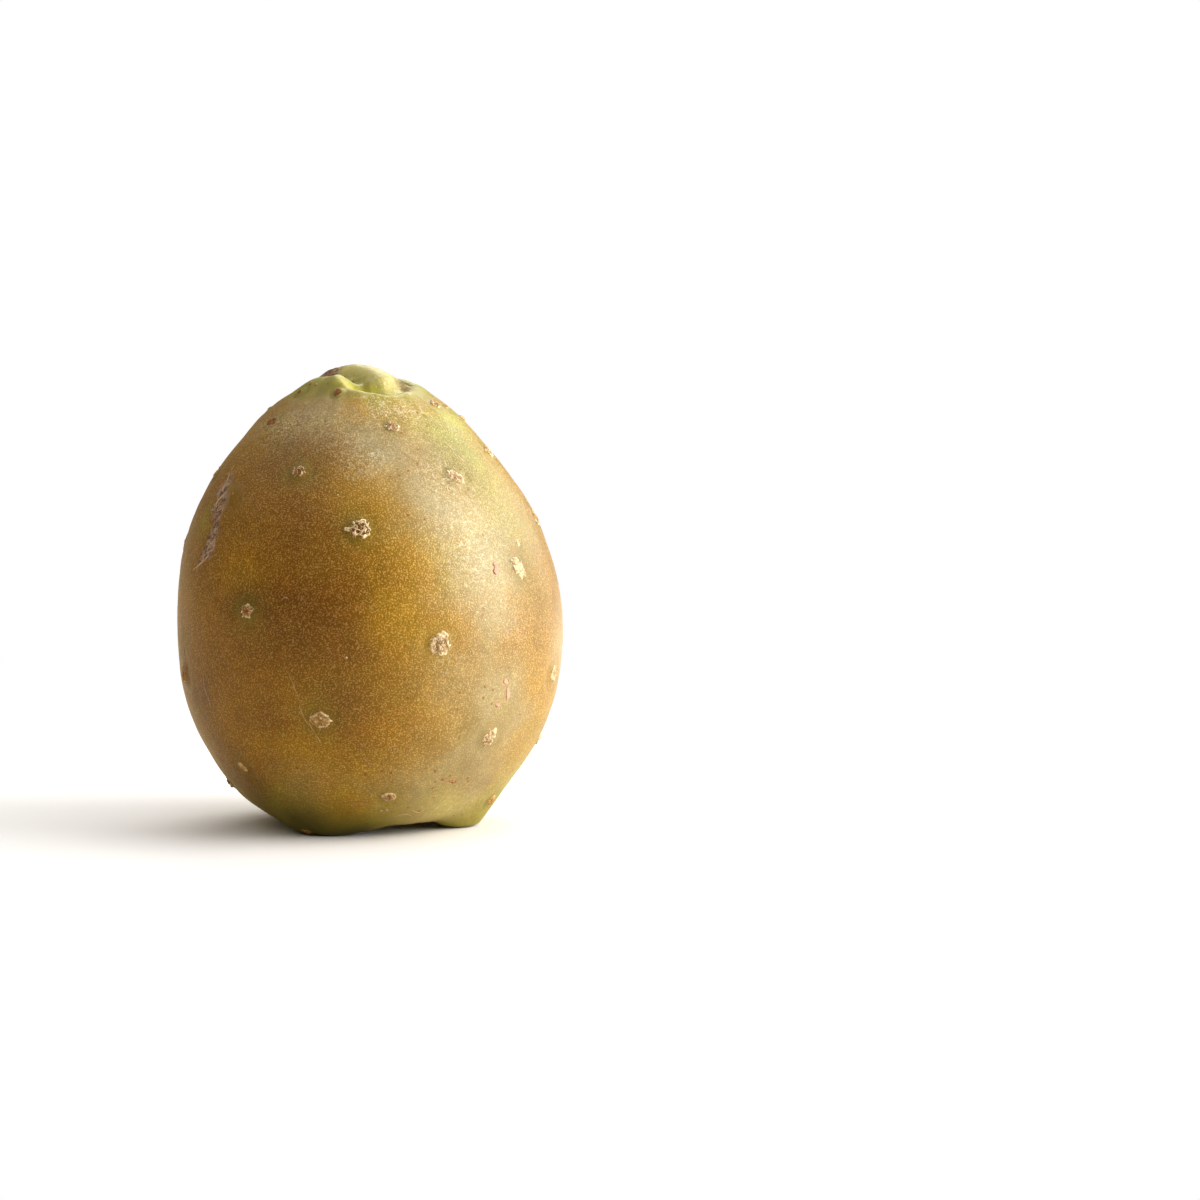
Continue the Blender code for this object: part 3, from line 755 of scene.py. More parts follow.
def crust_piece(material):
    """Crust of every areole, as a lens between two poles. Its outline is an ellipse times one
    plus spikes and raggedness. A packed crust is a low dome broken into chips of random height
    and slope; an open one has thin walls along the borders of larger cells and along its rim,
    with pockets between. Both are bent by bumps. The edge dips under the skin."""
    count = len(AREOLES.turn)
    index = np.arange(count)[:, None, None]
    share, angle = lens_grid(CRUST_RINGS, CRUST_SIDES, 0.06)
    around = ring_places(angle, 2.0, index * 9.0)
    spikes = 0.3 * np.cos(3 * angle + 1.7 * index) + 1.1 * bumps(around, 0.8, 71)
    outline = 1.0 + AREOLES.spiky[index] * spikes + 0.2 * bumps(around, 0.3, 72)
    reach = share * np.clip(outline, 0.45, 1.5)
    wide = reach * AREOLES.half_width[index] * np.cos(angle)
    tall = reach * AREOLES.half_height[index] * np.sin(angle)
    across, up = tilted(wide, tall, AREOLES.tilt[index])
    spot = np.stack([across, up, np.broadcast_to(index * 4.0, across.shape)], axis=-1)
    side = across + 0.3 * bumps(spot, 0.55, 81)
    rise = up + 0.3 * bumps(spot, 0.55, 82)
    lift, seam = chips(side + 7.0 * index, rise, 0.56, 73)
    small_lift, small_seam = chips(side - 5.0 * index, rise, 0.27, 74)
    crack = 1.0 - smooth_step(0.02, 0.22, seam) + 0.5 * (1.0 - smooth_step(0.02, 0.2, small_seam))
    pocket = smooth_step(0.15, 0.55, bumps(spot, 0.62, 75))
    packed = 0.16 + 0.22 * lift + 0.12 * small_lift - 0.1 * crack - 0.14 * pocket
    hollow = 0.45 * crack + 0.6 * pocket - 0.35 * lift
    wall = 1.0 - smooth_step(0.03, 0.28, chips(side + 3.0 * index, rise, 1.05, 78)[1])
    rim = bell(share - 0.84, 0.1) * unit(0.6 + 1.2 * bumps(spot, 0.45, 79))
    crumbs = smooth_step(0.35, 0.6, bumps(spot, 0.28, 69))
    broken = smooth_step(-0.3, 0.15, bumps(spot, 0.5, 68))
    walls = np.maximum(np.maximum(wall, rim) * broken, 0.8 * crumbs)
    opened = -0.02 + 0.28 * walls * (0.8 + 0.5 * bumps(spot, 0.3, 80))
    openness = AREOLES.open[index]
    dome = 1.0 - smooth_step(0.62, 1.0, share)
    dome = openness + (1.0 - openness) * dome
    relief = openness * opened + (1.0 - openness) * packed + 0.07 * bumps(spot, 0.2, 76)
    height = 0.1 * dome + AREOLES.rough[index] * dome * relief - 0.22 * smooth_step(0.86, 1.0, share)
    height = np.maximum(height, -0.3)
    height[:, 0, :] = -0.42
    base = AREOLES.lie_on_skin(np.broadcast_to(index, across.shape), across, up)
    rings = base + AREOLES.outward[:, None, None, :] * height[..., None]
    low = AREOLES.lie_on_skin(np.arange(count), np.zeros(count), np.zeros(count))
    bodies = with_poles(rings, low - AREOLES.outward * 0.5, pole_means(rings)[1])
    edge = smooth_step(0.55, 1.0, np.broadcast_to(share, across.shape))
    age = unit(AREOLES.age[index] + 0.2 * bumps(spot, 0.5, 77) - 0.15 * edge + 0.1 * lift)
    # The pit mask is painted shade: darkest in cracks, pockets and low chips, and where no wall
    # stands.
    hollow = (1.0 - openness) * AREOLES.rough[index] * hollow
    pit = unit(openness * (1.0 - smooth_step(0.08, 0.45, walls)) + hollow)
    core = 1.0 - smooth_step(0.35, 0.75, share + 0.15 * bumps(spot, 0.3, 70))
    masks = {"age": mask_with_poles(age), "pit": mask_with_poles(pit)}
    masks["core"] = mask_with_poles(AREOLES.core[index] * core)
    return make_piece("areole_crusts", bodies, CRUST_RINGS, CRUST_SIDES, material, masks)


def strand_piece(name, material, age, rings, sides, start, heading, bend, side, length, half_width,
                 half_thickness):
    """Tapered curved strands: the middle line runs along the heading and bends with the square
    of the way along, and each ring is an ellipse across it, widest near a third of the way."""
    way = np.linspace(0.04, 0.96, rings)[None, :, None]
    course = heading[:, None, :] * way + bend[:, None, :] * way ** 2
    line = start[:, None, :] + length[:, None, None] * course
    ahead = lengthwise(heading[:, None, :] + 2.0 * bend[:, None, :] * way)
    side = side[:, None, :]
    flank = lengthwise(side - ahead * np.sum(side * ahead, axis=-1, keepdims=True))
    above = np.cross(ahead, flank)
    girth = np.sqrt(unit(1.0 - ((way - 0.34) / 0.68) ** 2))
    angle = angles_round(sides)[None, None, :, None]
    wide = (half_width[:, None, None] * girth)[:, :, None, :] * np.cos(angle) * flank[:, :, None, :]
    thick = (half_thickness[:, None, None] * girth)[:, :, None, :] * np.sin(angle)
    rings_of_points = line[:, :, None, :] + wide + thick * above[:, :, None, :]
    tip = start + length[:, None] * (heading + bend)
    bodies = with_poles(rings_of_points, start, tip)
    masks = {"age": np.repeat(age[:, None], bodies.shape[1], axis=1)}
    return make_piece(name, bodies, rings, sides, material, masks)


def scattered(per_areole, seed):
    """Areole and angle of each strand, and a function that draws one value for each."""
    source = np.random.default_rng(seed)
    index = np.repeat(np.arange(len(AREOLES.turn)), np.round(per_areole).astype(int))

    def draw(low, high):
        """One value from low to high for each strand."""
        return source.uniform(low, high, len(index))

    return index, draw(0.0, 2.0 * math.pi), draw


def areole_strands(index, angle, reach):
    """Place on the skin at an angle and share of an areole's ellipse, and the direction away
    from its middle and round it."""
    wide = reach * AREOLES.half_width[index] * np.cos(angle)
    tall = reach * AREOLES.half_height[index] * np.sin(angle)
    across, up = tilted(wide, tall, AREOLES.tilt[index])
    place = AREOLES.lie_on_skin(index, across, up)
    away = lengthwise(across[:, None] * AREOLES.sideways[index] + up[:, None] * AREOLES.uphill[index])
    return place, away, np.cross(AREOLES.outward[index], away)


WOOL_RINGS = 6
WOOL_SIDES = 4
FLAKE_RINGS = 5
FLAKE_SIDES = 6


def wool_piece(material):
    """Fine curled wool of the areoles: strands that rise from the crust, lean out over its
    edge and curl back."""
    per_areole = 32 * AREOLES.wool * np.clip(AREOLES.size, 0.6, 1.0)
    index, angle, draw = scattered(per_areole, 11)
    reach = np.sqrt(draw(0.05, 1.0))
    place, away, round_it = areole_strands(index, angle, reach)
    out = AREOLES.outward[index]
    rise = draw(0.04, 0.42)[:, None]
    drift = draw(-0.9, 0.9)[:, None]
    heading = lengthwise(out * rise + away * draw(-0.35, 1.0)[:, None] + round_it * drift)
    bend = -out * draw(0.1, 0.55)[:, None] + round_it * draw(-0.6, 0.6)[:, None]
    bend -= away * draw(0.0, 0.7)[:, None]
    length = draw(0.35, 0.85) * (0.55 + 0.45 * AREOLES.size[index])
    half = draw(0.016, 0.034)
    start = place + out * (0.1 * (1.0 - reach))[:, None] - heading * 0.08
    age = unit(AREOLES.age[index] * 0.75 + draw(-0.25, 0.2))
    return strand_piece(
        "areole_wool", material, age, WOOL_RINGS, WOOL_SIDES, start, heading, bend, out, length,
        half, half
    )


def flake_piece(material):
    """Dry curled flakes standing out of the crusts: wide flat strands, which lie along the
    longer side of a long crust."""
    index, angle, draw = scattered(14 * AREOLES.wool * AREOLES.rough, 12)
    reach = np.sqrt(draw(0.02, 0.85))
    place, away, round_it = areole_strands(index, angle, reach)
    out = AREOLES.outward[index]
    heading = out * draw(0.05, 0.35)[:, None] + away * draw(-0.5, 1.0)[:, None]
    heading = lengthwise(heading + round_it * draw(-1.0, 1.0)[:, None])
    longer = AREOLES.half_height[index] > AREOLES.half_width[index]
    lie = AREOLES.tilt[index] + np.where(longer, math.pi / 2, 0.0)
    sideways, uphill = AREOLES.sideways[index], AREOLES.uphill[index]
    lie = np.cos(lie)[:, None] * sideways + np.sin(lie)[:, None] * uphill
    lie = lie * np.sign(np.sum(heading * lie, axis=-1, keepdims=True))
    slender = np.abs(np.log(AREOLES.half_height[index] / AREOLES.half_width[index]))[:, None]
    heading = lengthwise(heading + lie * 2.5 * slender)
    bend = -out * draw(-0.2, 0.7)[:, None] + round_it * draw(-0.4, 0.4)[:, None]
    length = draw(0.3, 0.65) * (0.5 + 0.5 * AREOLES.size[index])
    wide = draw(0.06, 0.14) * (0.5 + 0.5 * AREOLES.size[index])
    side = round_it + out * draw(-0.8, 0.8)[:, None]
    start = place + out * 0.1 - heading * 0.12
    age = unit(AREOLES.age[index] * 0.8 + draw(-0.25, 0.15))
    return strand_piece(
        "areole_flakes", material, age, FLAKE_RINGS, FLAKE_SIDES, start, heading, bend, side, length,
        wide, wide * 0.22
    )


# Height and climb between which scratches low on the base are placed
LOW_SCRATCHES = ((0.0, 0.13), (2.6, 0.175))
SCRATCH_RINGS = 26
SCRATCH_SIDES = 6


def scratch_piece(material):
    """Scratches and small scars: low ridges that follow a line of turn and height on the skin,
    with an uneven width that runs out to nothing at both ends."""
    way = np.linspace(0.0, 1.0, SCRATCH_RINGS)
    angle = angles_round(SCRATCH_SIDES)
    bodies, tints = [], []
    for number, (tint, half_width, line) in enumerate(SCRATCHES):
        turn, height = along(np.array(line, float), way).T
        turn, climb = np.radians(turn), np.interp(height, *zip(*LOW_SCRATCHES))
        climb = np.where(height > LOW_SCRATCHES[1][0], climb_at(height), climb)
        middle = skin_points(turn, climb)
        out = outward_of(turn, climb)
        ahead = lengthwise(np.gradient(middle, axis=0))
        flank = np.cross(out, ahead)
        uneven = 1.0 + 0.5 * bumps(middle, 0.7, 81) + 0.3 * bumps(middle, 0.3, 82)
        girth = half_width * np.sin(math.pi * (0.03 + 0.94 * way)) ** 0.5 * uneven
        middle = middle + flank * (half_width * 0.8 * bumps(middle, 0.9, 83))[:, None]
        wide = girth[:, None, None] * np.cos(angle)[None, :, None] * flank[:, None, :]
        thick = (0.035 + 0.35 * girth)[:, None, None] * np.sin(angle)[None, :, None] * out[:, None, :]
        bodies.append(middle[:, None, :] + wide + thick * 0.45)
        shade = 1.0 + 0.22 * bumps(middle + number, 0.5, 84)
        tints.append(np.array(SCRATCH_TINTS[tint])[None, :] * shade[:, None])
    rings = np.array(bodies)
    tints = np.repeat(np.array(tints)[:, :, None, :], SCRATCH_SIDES, axis=2)
    bodies = with_poles(rings, *pole_means(rings))
    tints = with_poles(tints, tints[:, 0, 0], tints[:, -1, 0])
    return make_piece("scratches", bodies, SCRATCH_RINGS, SCRATCH_SIDES, material, None, tints)


def on_flower_scar(x, y):
    """Turn and climb of places on top, from x and y measured from the middle of the top."""
    climbs = np.linspace(1.0, 0.7, 400)
    radii = along(MERIDIAN, climbs)[:, 0] * WIDTH / 2
    deep = y * WIDTH / DEPTH
    return np.arctan2(deep, x), np.interp(np.hypot(x, deep), radii, climbs)


TISSUE_RINGS = 16
TISSUE_SIDES = 72


def tissue_piece(material):
    """Dry torn tissue in the hollows of the flower scar: ragged lenses broken into long chips,
    like the crusts, but laid by x and y on the top."""
    x, y, half_wide, half_tall, tilt = np.array(TISSUE, float).T[:, :, None, None]
    index = np.arange(len(TISSUE))[:, None, None]
    share, angle = lens_grid(TISSUE_RINGS, TISSUE_SIDES, 0.07)
    around = ring_places(angle, 3.0, index * 8.0)
    outline = 1.0 + 0.34 * bumps(around, 1.2, 91) + 0.2 * bumps(around, 0.45, 92)
    wide = share * outline * half_wide * np.cos(angle)
    tall = share * outline * half_tall * np.sin(angle)
    across, up = tilted(wide, tall, np.radians(tilt))
    turn, climb = on_flower_scar(x + across, y + up)
    lift, seam = chips(wide + 9.0 * index, tall * 1.8, 0.95, 93)
    small, small_seam = chips(wide - 9.0 * index, tall * 1.5, 0.4, 94)
    crack = 1.0 - smooth_step(0.02, 0.2, seam) + 0.5 * (1.0 - smooth_step(0.0, 0.2, small_seam))
    dome = 1.0 - smooth_step(0.7, 1.0, share)
    height = dome * (0.03 + 0.08 * lift + 0.05 * small - 0.07 * crack)
    height = np.maximum(height - 0.2 * smooth_step(0.85, 1.0, share), -0.3)
    height[:, 0, :] = -0.45
    rings = over_skin(turn, climb, height[..., None])
    low = over_skin(*on_flower_scar(x[:, 0, 0], y[:, 0, 0]), -0.5)
    bodies = with_poles(rings, low, pole_means(rings)[1])
    age = unit(0.72 + 0.35 * lift + 0.2 * small)
    # The pit mask paints shade along the cracks.
    masks = {"age": mask_with_poles(age), "pit": mask_with_poles(unit(crack))}
    return make_piece("flower_scar_tissue", bodies, TISSUE_RINGS, TISSUE_SIDES, material, masks)


CORK_RINGS = 34
CORK_SIDES = 144
CORK_MIDDLE_CLIMB = 0.0006


def cork_piece(material):
    """Corky plug of the stem scar: a thin disc under the base with rings that widen outwards,
    radial cracks and a sunken middle with the torn ends of its strands."""
    share = np.concatenate([[1.0], np.linspace(1.0, 0.03, CORK_RINGS - 1)])[:, None]
    angle = angles_round(CORK_SIDES)[None, :]
    around = ring_places(angle, 4.0, 0.0)
    ragged = 1.0 + 0.08 * bumps(around, 1.4, 101) + 0.04 * bumps(around, 0.5, 102)
    radius = share * STEM_CORK_REACH * ragged
    climbs = np.linspace(0.0, BASE_CLIMB, 200)
    radii = along(MERIDIAN, climbs)[:, 0] * WIDTH / 2
    climb = np.maximum(np.interp(radius, radii, climbs), CORK_MIDDLE_CLIMB)
    turn = np.broadcast_to(angle, climb.shape)
    spot = ring_places(turn, radius, 0.0)
    rings_wave = np.sin(radius * 5.2 + 1.5 * bumps(spot, 1.5, 103))
    lift, seam = chips(spot[..., 0], spot[..., 1], 0.8, 104)
    crack = 1.0 - smooth_step(0.02, 0.2, seam)
    bundles = bell(radius - 2.6, 0.35) * smooth_step(0.3, 0.8, np.sin(angle * 9.0))
    height = 0.18 + 0.05 * rings_wave + 0.1 * lift - 0.08 * crack + 0.16 * bundles
    height = height * (1.0 - smooth_step(0.86, 1.0, share)) - 0.18 * smooth_step(0.92, 1.0, share)
    height[0] = -0.35
    rings = over_skin(turn, climb, height[..., None])[::-1]
    rings[..., 2] = np.maximum(rings[..., 2], 0.0)
    low = rings[0].mean(axis=0)[None]
    high = over_skin(np.zeros(1), np.array([CORK_MIDDLE_CLIMB]), -0.6)
    bodies = with_poles(rings[None], low, high)
    age = unit(0.45 + 0.2 * rings_wave + 0.25 * lift + 0.25 * bumps(spot, 1.0, 105))[::-1]
    # The pit mask paints shade along the cracks and in the sunken middle.
    pit = unit(crack + 0.5 * bell(radius, 1.2))[::-1]
    masks = {
        "age": np.concatenate([age.ravel(), [0.5, 0.5]]),
        "pit": np.concatenate([pit.ravel(), [0.6, 0.6]]),
    }
    return make_piece("stem_scar_cork", bodies, CORK_RINGS, CORK_SIDES, material, masks)


# Materials

class Wiring:
    """Places nodes in one material or group, and joins or sets their inputs."""

    def __init__(self, tree):
        """Starts with an empty tree."""
        self.tree = tree
        self.tree.nodes.clear()

    def add(self, kind, settings=None, inputs=None):
        """New node of a kind, with its settings and its inputs by name or number."""
        node = self.tree.nodes.new(kind)
        for setting, value in (settings or {}).items():
            setattr(node, setting, value)
        for socket, value in (inputs or {}).items():
            self.feed(node.inputs[socket], value)
        return node

    def feed(self, socket, value):
        """Joins a socket to another one's value, or sets it to a number or colour."""
        if isinstance(value, bpy.types.NodeSocket):
            self.tree.links.new(value, socket)
        elif isinstance(value, tuple) and len(value) == 3 and socket.type == "RGBA":
            socket.default_value = value + (1.0,)
        else:
            socket.default_value = value

    def sum(self, operation, first, second):
        """One step of arithmetic between two values."""
        return self.add("ShaderNodeMath", {"operation": operation}, {0: first, 1: second}).outputs[0]

    def product(self, first, second):
        """First times second."""
        return self.sum("MULTIPLY", first, second)

    def step(self, value, low, high):
        """0 below low and 1 above high, or the other way round, with an even S between."""
        inputs = {"Value": value, "From Min": low, "From Max": high}
        return self.add("ShaderNodeMapRange", {"interpolation_type": "SMOOTHSTEP"}, inputs).outputs[0]

    def span(self, value, start, end):
        """From start at 0 to end at 1."""
        inputs = {"Value": value, "To Min": start, "To Max": end}
        return self.add("ShaderNodeMapRange", None, inputs).outputs[0]

    def blend(self, share, under, over, kind="MIX"):
        """Colour under with colour over laid on it by a share."""
        settings = {"data_type": "RGBA", "blend_type": kind}
        return self.add("ShaderNodeMix", settings, {0: share, 6: under, 7: over}).outputs[2]

    def lay(self, mask, amount, under, over):
        """Colour under with colour over laid on it by a mask times an amount."""
        return self.blend(self.product(mask, amount), under, over)

    def times(self, colour, factor):
        """Colour made lighter or darker by a factor."""
        grey = self.add("ShaderNodeCombineColor", None, {0: factor, 1: factor, 2: factor}).outputs[0]
        return self.blend(1.0, colour, grey, "MULTIPLY")

    def mask(self, name):
        """Vertex mask of the piece."""
        return self.add("ShaderNodeAttribute", {"attribute_name": name}).outputs["Fac"]

    def where(self):
        """Place on the piece, in metres."""
        return self.add("ShaderNodeTexCoord").outputs["Object"]

    def noise(self, place, scale, detail=2.0, roughness=0.5, warp=0.0):
        """Smooth noise about 0.5, with finer layers as detail and roughness grow."""
        inputs = {"Vector": place, "Scale": scale, "Detail": detail, "Roughness": roughness}
        inputs["Distortion"] = warp
        return self.add("ShaderNodeTexNoise", None, inputs).outputs["Fac"]

    def group(self, tree, inputs):
        """Output of a node group with its inputs by name."""
        return self.add("ShaderNodeGroup", {"node_tree": tree}, inputs).outputs[0]

    def mottle(self, place, colour, scale, amount):
        """Colour made uneven by the mottle group."""
        inputs = {"Colour": colour, "Place": place, "Scale": scale, "Amount": amount}
        return self.group(MOTTLE, inputs)

    def grain(self, place, scale):
        """Fine stipple by the grain group."""
        return self.group(GRAIN, {"Place": place, "Scale": scale, "Cover": 0.08})


def new_group(name, inputs, output):
    """Empty node group with float, vector or colour inputs and one output."""
    kinds = {"value": "NodeSocketFloat", "place": "NodeSocketVector", "colour": "NodeSocketColor"}
    tree = bpy.data.node_groups.new(name, "ShaderNodeTree")
    for socket, kind in inputs:
        tree.interface.new_socket(socket, in_out="INPUT", socket_type=kinds[kind])
    tree.interface.new_socket(output[0], in_out="OUTPUT", socket_type=kinds[output[1]])
    wiring = Wiring(tree)
    entry = wiring.add("NodeGroupInput").outputs
    leave = wiring.add("NodeGroupOutput").inputs[0]
    return tree, wiring, entry, leave


def mottle_group():
    """Colour made lighter and darker by uneven noise, by an amount either way."""
    sockets = (("Colour", "colour"), ("Place", "place"), ("Scale", "value"), ("Amount", "value"))
    tree, wire, entry, leave = new_group("mottle", sockets, ("Colour", "colour"))
    drift = wire.noise(entry["Place"], entry["Scale"], 4.0, 0.6, 0.3)
    centred = wire.sum("SUBTRACT", drift, 0.5)
    change = wire.product(centred, entry["Amount"])
    wire.feed(leave, wire.times(entry["Colour"], wire.sum("ADD", change, 1.0)))
    return tree


def grain_group():
    """Fine soft stipple: the upper part of fine noise, from a level that the cover lowers."""
    sockets = (("Place", "place"), ("Scale", "value"), ("Cover", "value"))
    tree, wire, entry, leave = new_group("grain", sockets, ("Mask", "value"))
    fine = wire.noise(entry["Place"], entry["Scale"], 0.0)
    low = wire.sum("SUBTRACT", 0.52, entry["Cover"])
    wire.feed(leave, wire.step(fine, low, wire.sum("ADD", low, 0.34)))
    return tree


def speck_group():
    """Sparse round specks: cells of a Voronoi pattern whose random value is under a share."""
    sockets = (("Place", "place"), ("Scale", "value"), ("Share", "value"), ("Size", "value"))
    tree, wire, entry, leave = new_group("specks", sockets, ("Mask", "value"))
    wander = wire.noise(entry["Place"], wire.product(entry["Scale"], 2.2), 1.0)
    cells = wire.add("ShaderNodeTexVoronoi", None, {"Vector": entry["Place"], "Scale": entry["Scale"]})
    distance = wire.sum("ADD", cells.outputs["Distance"], wire.product(wander, 0.25))
    size = wire.sum("ADD", entry["Size"], 0.125)
    inner = wire.product(size, 0.55)
    dot = wire.step(distance, size, inner)
    draw = wire.add("ShaderNodeSeparateColor", None, {0: cells.outputs["Color"]}).outputs[0]
    chosen = wire.sum("LESS_THAN", draw, entry["Share"])
    wire.feed(leave, wire.product(dot, chosen))
    return tree


def hair_group():
    """Hair-fine curved strokes: a thin band round the middle value of noise, cut into short
    lengths by a second noise."""
    sockets = (("Place", "place"), ("Scale", "value"), ("Width", "value"), ("Cover", "value"))
    tree, wire, entry, leave = new_group("hair strokes", sockets, ("Mask", "value"))
    field = wire.noise(entry["Place"], entry["Scale"], 1.0, 0.4, 0.6)
    off = wire.sum("ABSOLUTE", wire.sum("SUBTRACT", field, 0.5), 0.0)
    line = wire.step(off, entry["Width"], 0.0)
    cuts = wire.noise(entry["Place"], wire.product(entry["Scale"], 1.3), 2.0)
    low = wire.sum("SUBTRACT", 0.72, entry["Cover"])
    lengths = wire.step(cuts, low, wire.sum("ADD", low, 0.06))
    wire.feed(leave, wire.product(line, lengths))
    return tree


MOTTLE = mottle_group()
GRAIN = grain_group()
SPECKS = speck_group()
HAIRS = hair_group()


def new_material(name):
    """Empty material and its wiring."""
    material = bpy.data.materials.new(name)
    material.use_nodes = True
    return material, Wiring(material.node_tree)


def bump(wire, height, distance, strength, under=None):
    """Normal from a height; the distance is in metres."""
    inputs = {"Height": height, "Distance": distance, "Strength": strength}
    if under is not None:
        inputs["Normal"] = under
    return wire.add("ShaderNodeBump", None, inputs).outputs[0]


def finish_material(wire, shader):
    """Shader joined to the material's surface."""
    output = wire.add("ShaderNodeOutputMaterial")
    wire.tree.links.new(shader.outputs[0], output.inputs["Surface"])


def coated(material, wire, inputs):
    """The material, finished with one principled shader."""
    finish_material(wire, wire.add("ShaderNodeBsdfPrincipled", None, inputs))
    return material


def waxy_skin():
    """Ripening skin: brown, gold, pale and green zones, a fine pale stipple under the wax, green
    halos round the areoles, rust specks, white rub marks and the grey graze. Some of it is painted
    light: the pale and bloom patches high on the right of the front paint the key light's
    highlight and glints, the lip of the flower scar is made lighter for the light from overhead,
    a gold patch paints the shade under the lip, and dark patches paint shade low on the base."""
    material, wire = new_material("waxy_skin")
    place = wire.where()
    colour = (0.275, 0.118, 0.002)
    colour = wire.blend(wire.mask("green"), colour, (0.325, 0.345, 0.03))
    colour = wire.blend(wire.mask("gold"), colour, (0.375, 0.192, 0.002))
    colour = wire.blend(wire.mask("brown"), colour, (0.15, 0.047, 0.0))
    # Pale: paler skin, and a painted highlight high on the right of the front.
    colour = wire.blend(wire.mask("pale"), colour, (0.385, 0.3, 0.145))
    zone = wire.step(wire.noise(place, 80.0, 3.0), 0.38, 0.7)
    colour = wire.lay(zone, 0.16, colour, (0.33, 0.14, 0.006))
    olive = wire.step(wire.noise(place, 150.0, 3.0, 0.55, 0.4), 0.5, 0.68)
    colour = wire.lay(olive, 0.13, colour, (0.26, 0.18, 0.012))
    # The fold and crease colours: the lip's own yellow-green, made lighter to paint the light from
    # overhead on the top.
    colour = wire.blend(wire.mask("fold"), colour, (0.61, 0.53, 0.15))
    colour = wire.blend(wire.mask("crease"), colour, (0.56, 0.51, 0.022))
    colour = wire.mottle(place, colour, 190.0, 0.55)
    colour = wire.mottle(place, colour, 700.0, 0.4)
    halo = wire.mask("halo")
    colour = wire.lay(halo, 0.62, colour, (0.16, 0.15, 0.022))
    grains = wire.grain(place, 4700.0)
    grains = wire.product(grains, wire.mask("grain"))
    colour = wire.times(colour, wire.span(grains, 0.88, 1.66))
    colour = wire.lay(grains, 0.18, colour, (0.72, 0.61, 0.32))
    rust = wire.group(SPECKS, {"Place": place, "Scale": 820.0, "Share": 0.4, "Size": 0.25})
    sprinkle = wire.step(wire.noise(place, 120.0, 2.0), 0.44, 0.56)
    rust = wire.product(rust, wire.sum("MAXIMUM", sprinkle, wire.mask("rusty")))
    colour = wire.lay(rust, 0.88, colour, (0.29, 0.082, 0.006))
    blush = wire.step(wire.noise(place, 260.0, 3.0, 0.6), 0.6, 0.72)
    colour = wire.lay(blush, 0.2, colour, (0.4, 0.16, 0.02))
    scar = wire.mask("scar")
    colour = wire.blend(scar, colour, (0.15, 0.062, 0.036))
    graze = wire.mask("graze")
    torn = wire.step(wire.noise(place, 1500.0, 4.0, 0.65, 0.6), 0.44, 0.6)
    bruised = wire.step(wire.noise(place, 640.0, 3.0, 0.6), 0.42, 0.6)
    scraped = wire.blend(bruised, (0.105, 0.05, 0.034), (0.36, 0.225, 0.175))
    scraped = wire.lay(torn, 0.85, scraped, (0.64, 0.45, 0.37))
    colour = wire.blend(graze, colour, scraped)
    strokes = wire.group(HAIRS, {"Place": place, "Scale": 1300.0, "Width": 0.042, "Cover": 0.24})
    fine_strokes = wire.group(HAIRS, {"Place": place, "Scale": 2500.0, "Width": 0.065, "Cover": 0.22})
    strokes = wire.sum("MAXIMUM", strokes, fine_strokes)
    # Wax dust and hair strokes: the white bloom, and in the glint patches high on the right of the
    # front a painted sheen and painted glints.
    bloom = wire.mask("bloom")
    wax_dust_and_sheen = wire.step(wire.noise(place, 900.0, 3.0, 0.65), 0.48, 0.72)
    wax_dust_and_sheen = wire.product(wax_dust_and_sheen, wire.product(bloom, 0.34))
    colour = wire.blend(wax_dust_and_sheen, colour, (0.68, 0.58, 0.36))
    strokes = wire.product(strokes, wire.product(bloom, 0.72))
    colour = wire.blend(strokes, colour, (0.82, 0.74, 0.54))
    colour = wire.lay(wire.mask("under"), 0.5, colour, (0.19, 0.165, 0.03))
    # Painted shade: green-black low on the base, from the dark patches.
    colour = wire.blend(wire.mask("dark"), colour, (0.026, 0.028, 0.004))
    rough = wire.span(wire.noise(place, 700.0, 3.0), 0.29, 0.45)
    rough = wire.sum("ADD", rough, wire.product(wire.sum("MAXIMUM", graze, scar), 0.3))
    waves = wire.noise(place, 420.0, 4.0, 0.55)
    normal = bump(wire, waves, 0.00025, 0.3)
    normal = bump(wire, grains, 0.00004, 0.55, normal)
    normal = bump(wire, wire.product(torn, graze), 0.0002, 0.8, normal)
    inputs = {
        "Base Color": colour, "Roughness": rough, "Normal": normal, "Subsurface Weight": 0.12,
        "Subsurface Radius": (1.0, 0.5, 0.2), "Subsurface Scale": 0.0015, "Specular IOR Level": 0.5,
        "Specular Tint": (1.0, 0.9, 0.58),
    }
    return coated(material, wire, inputs)


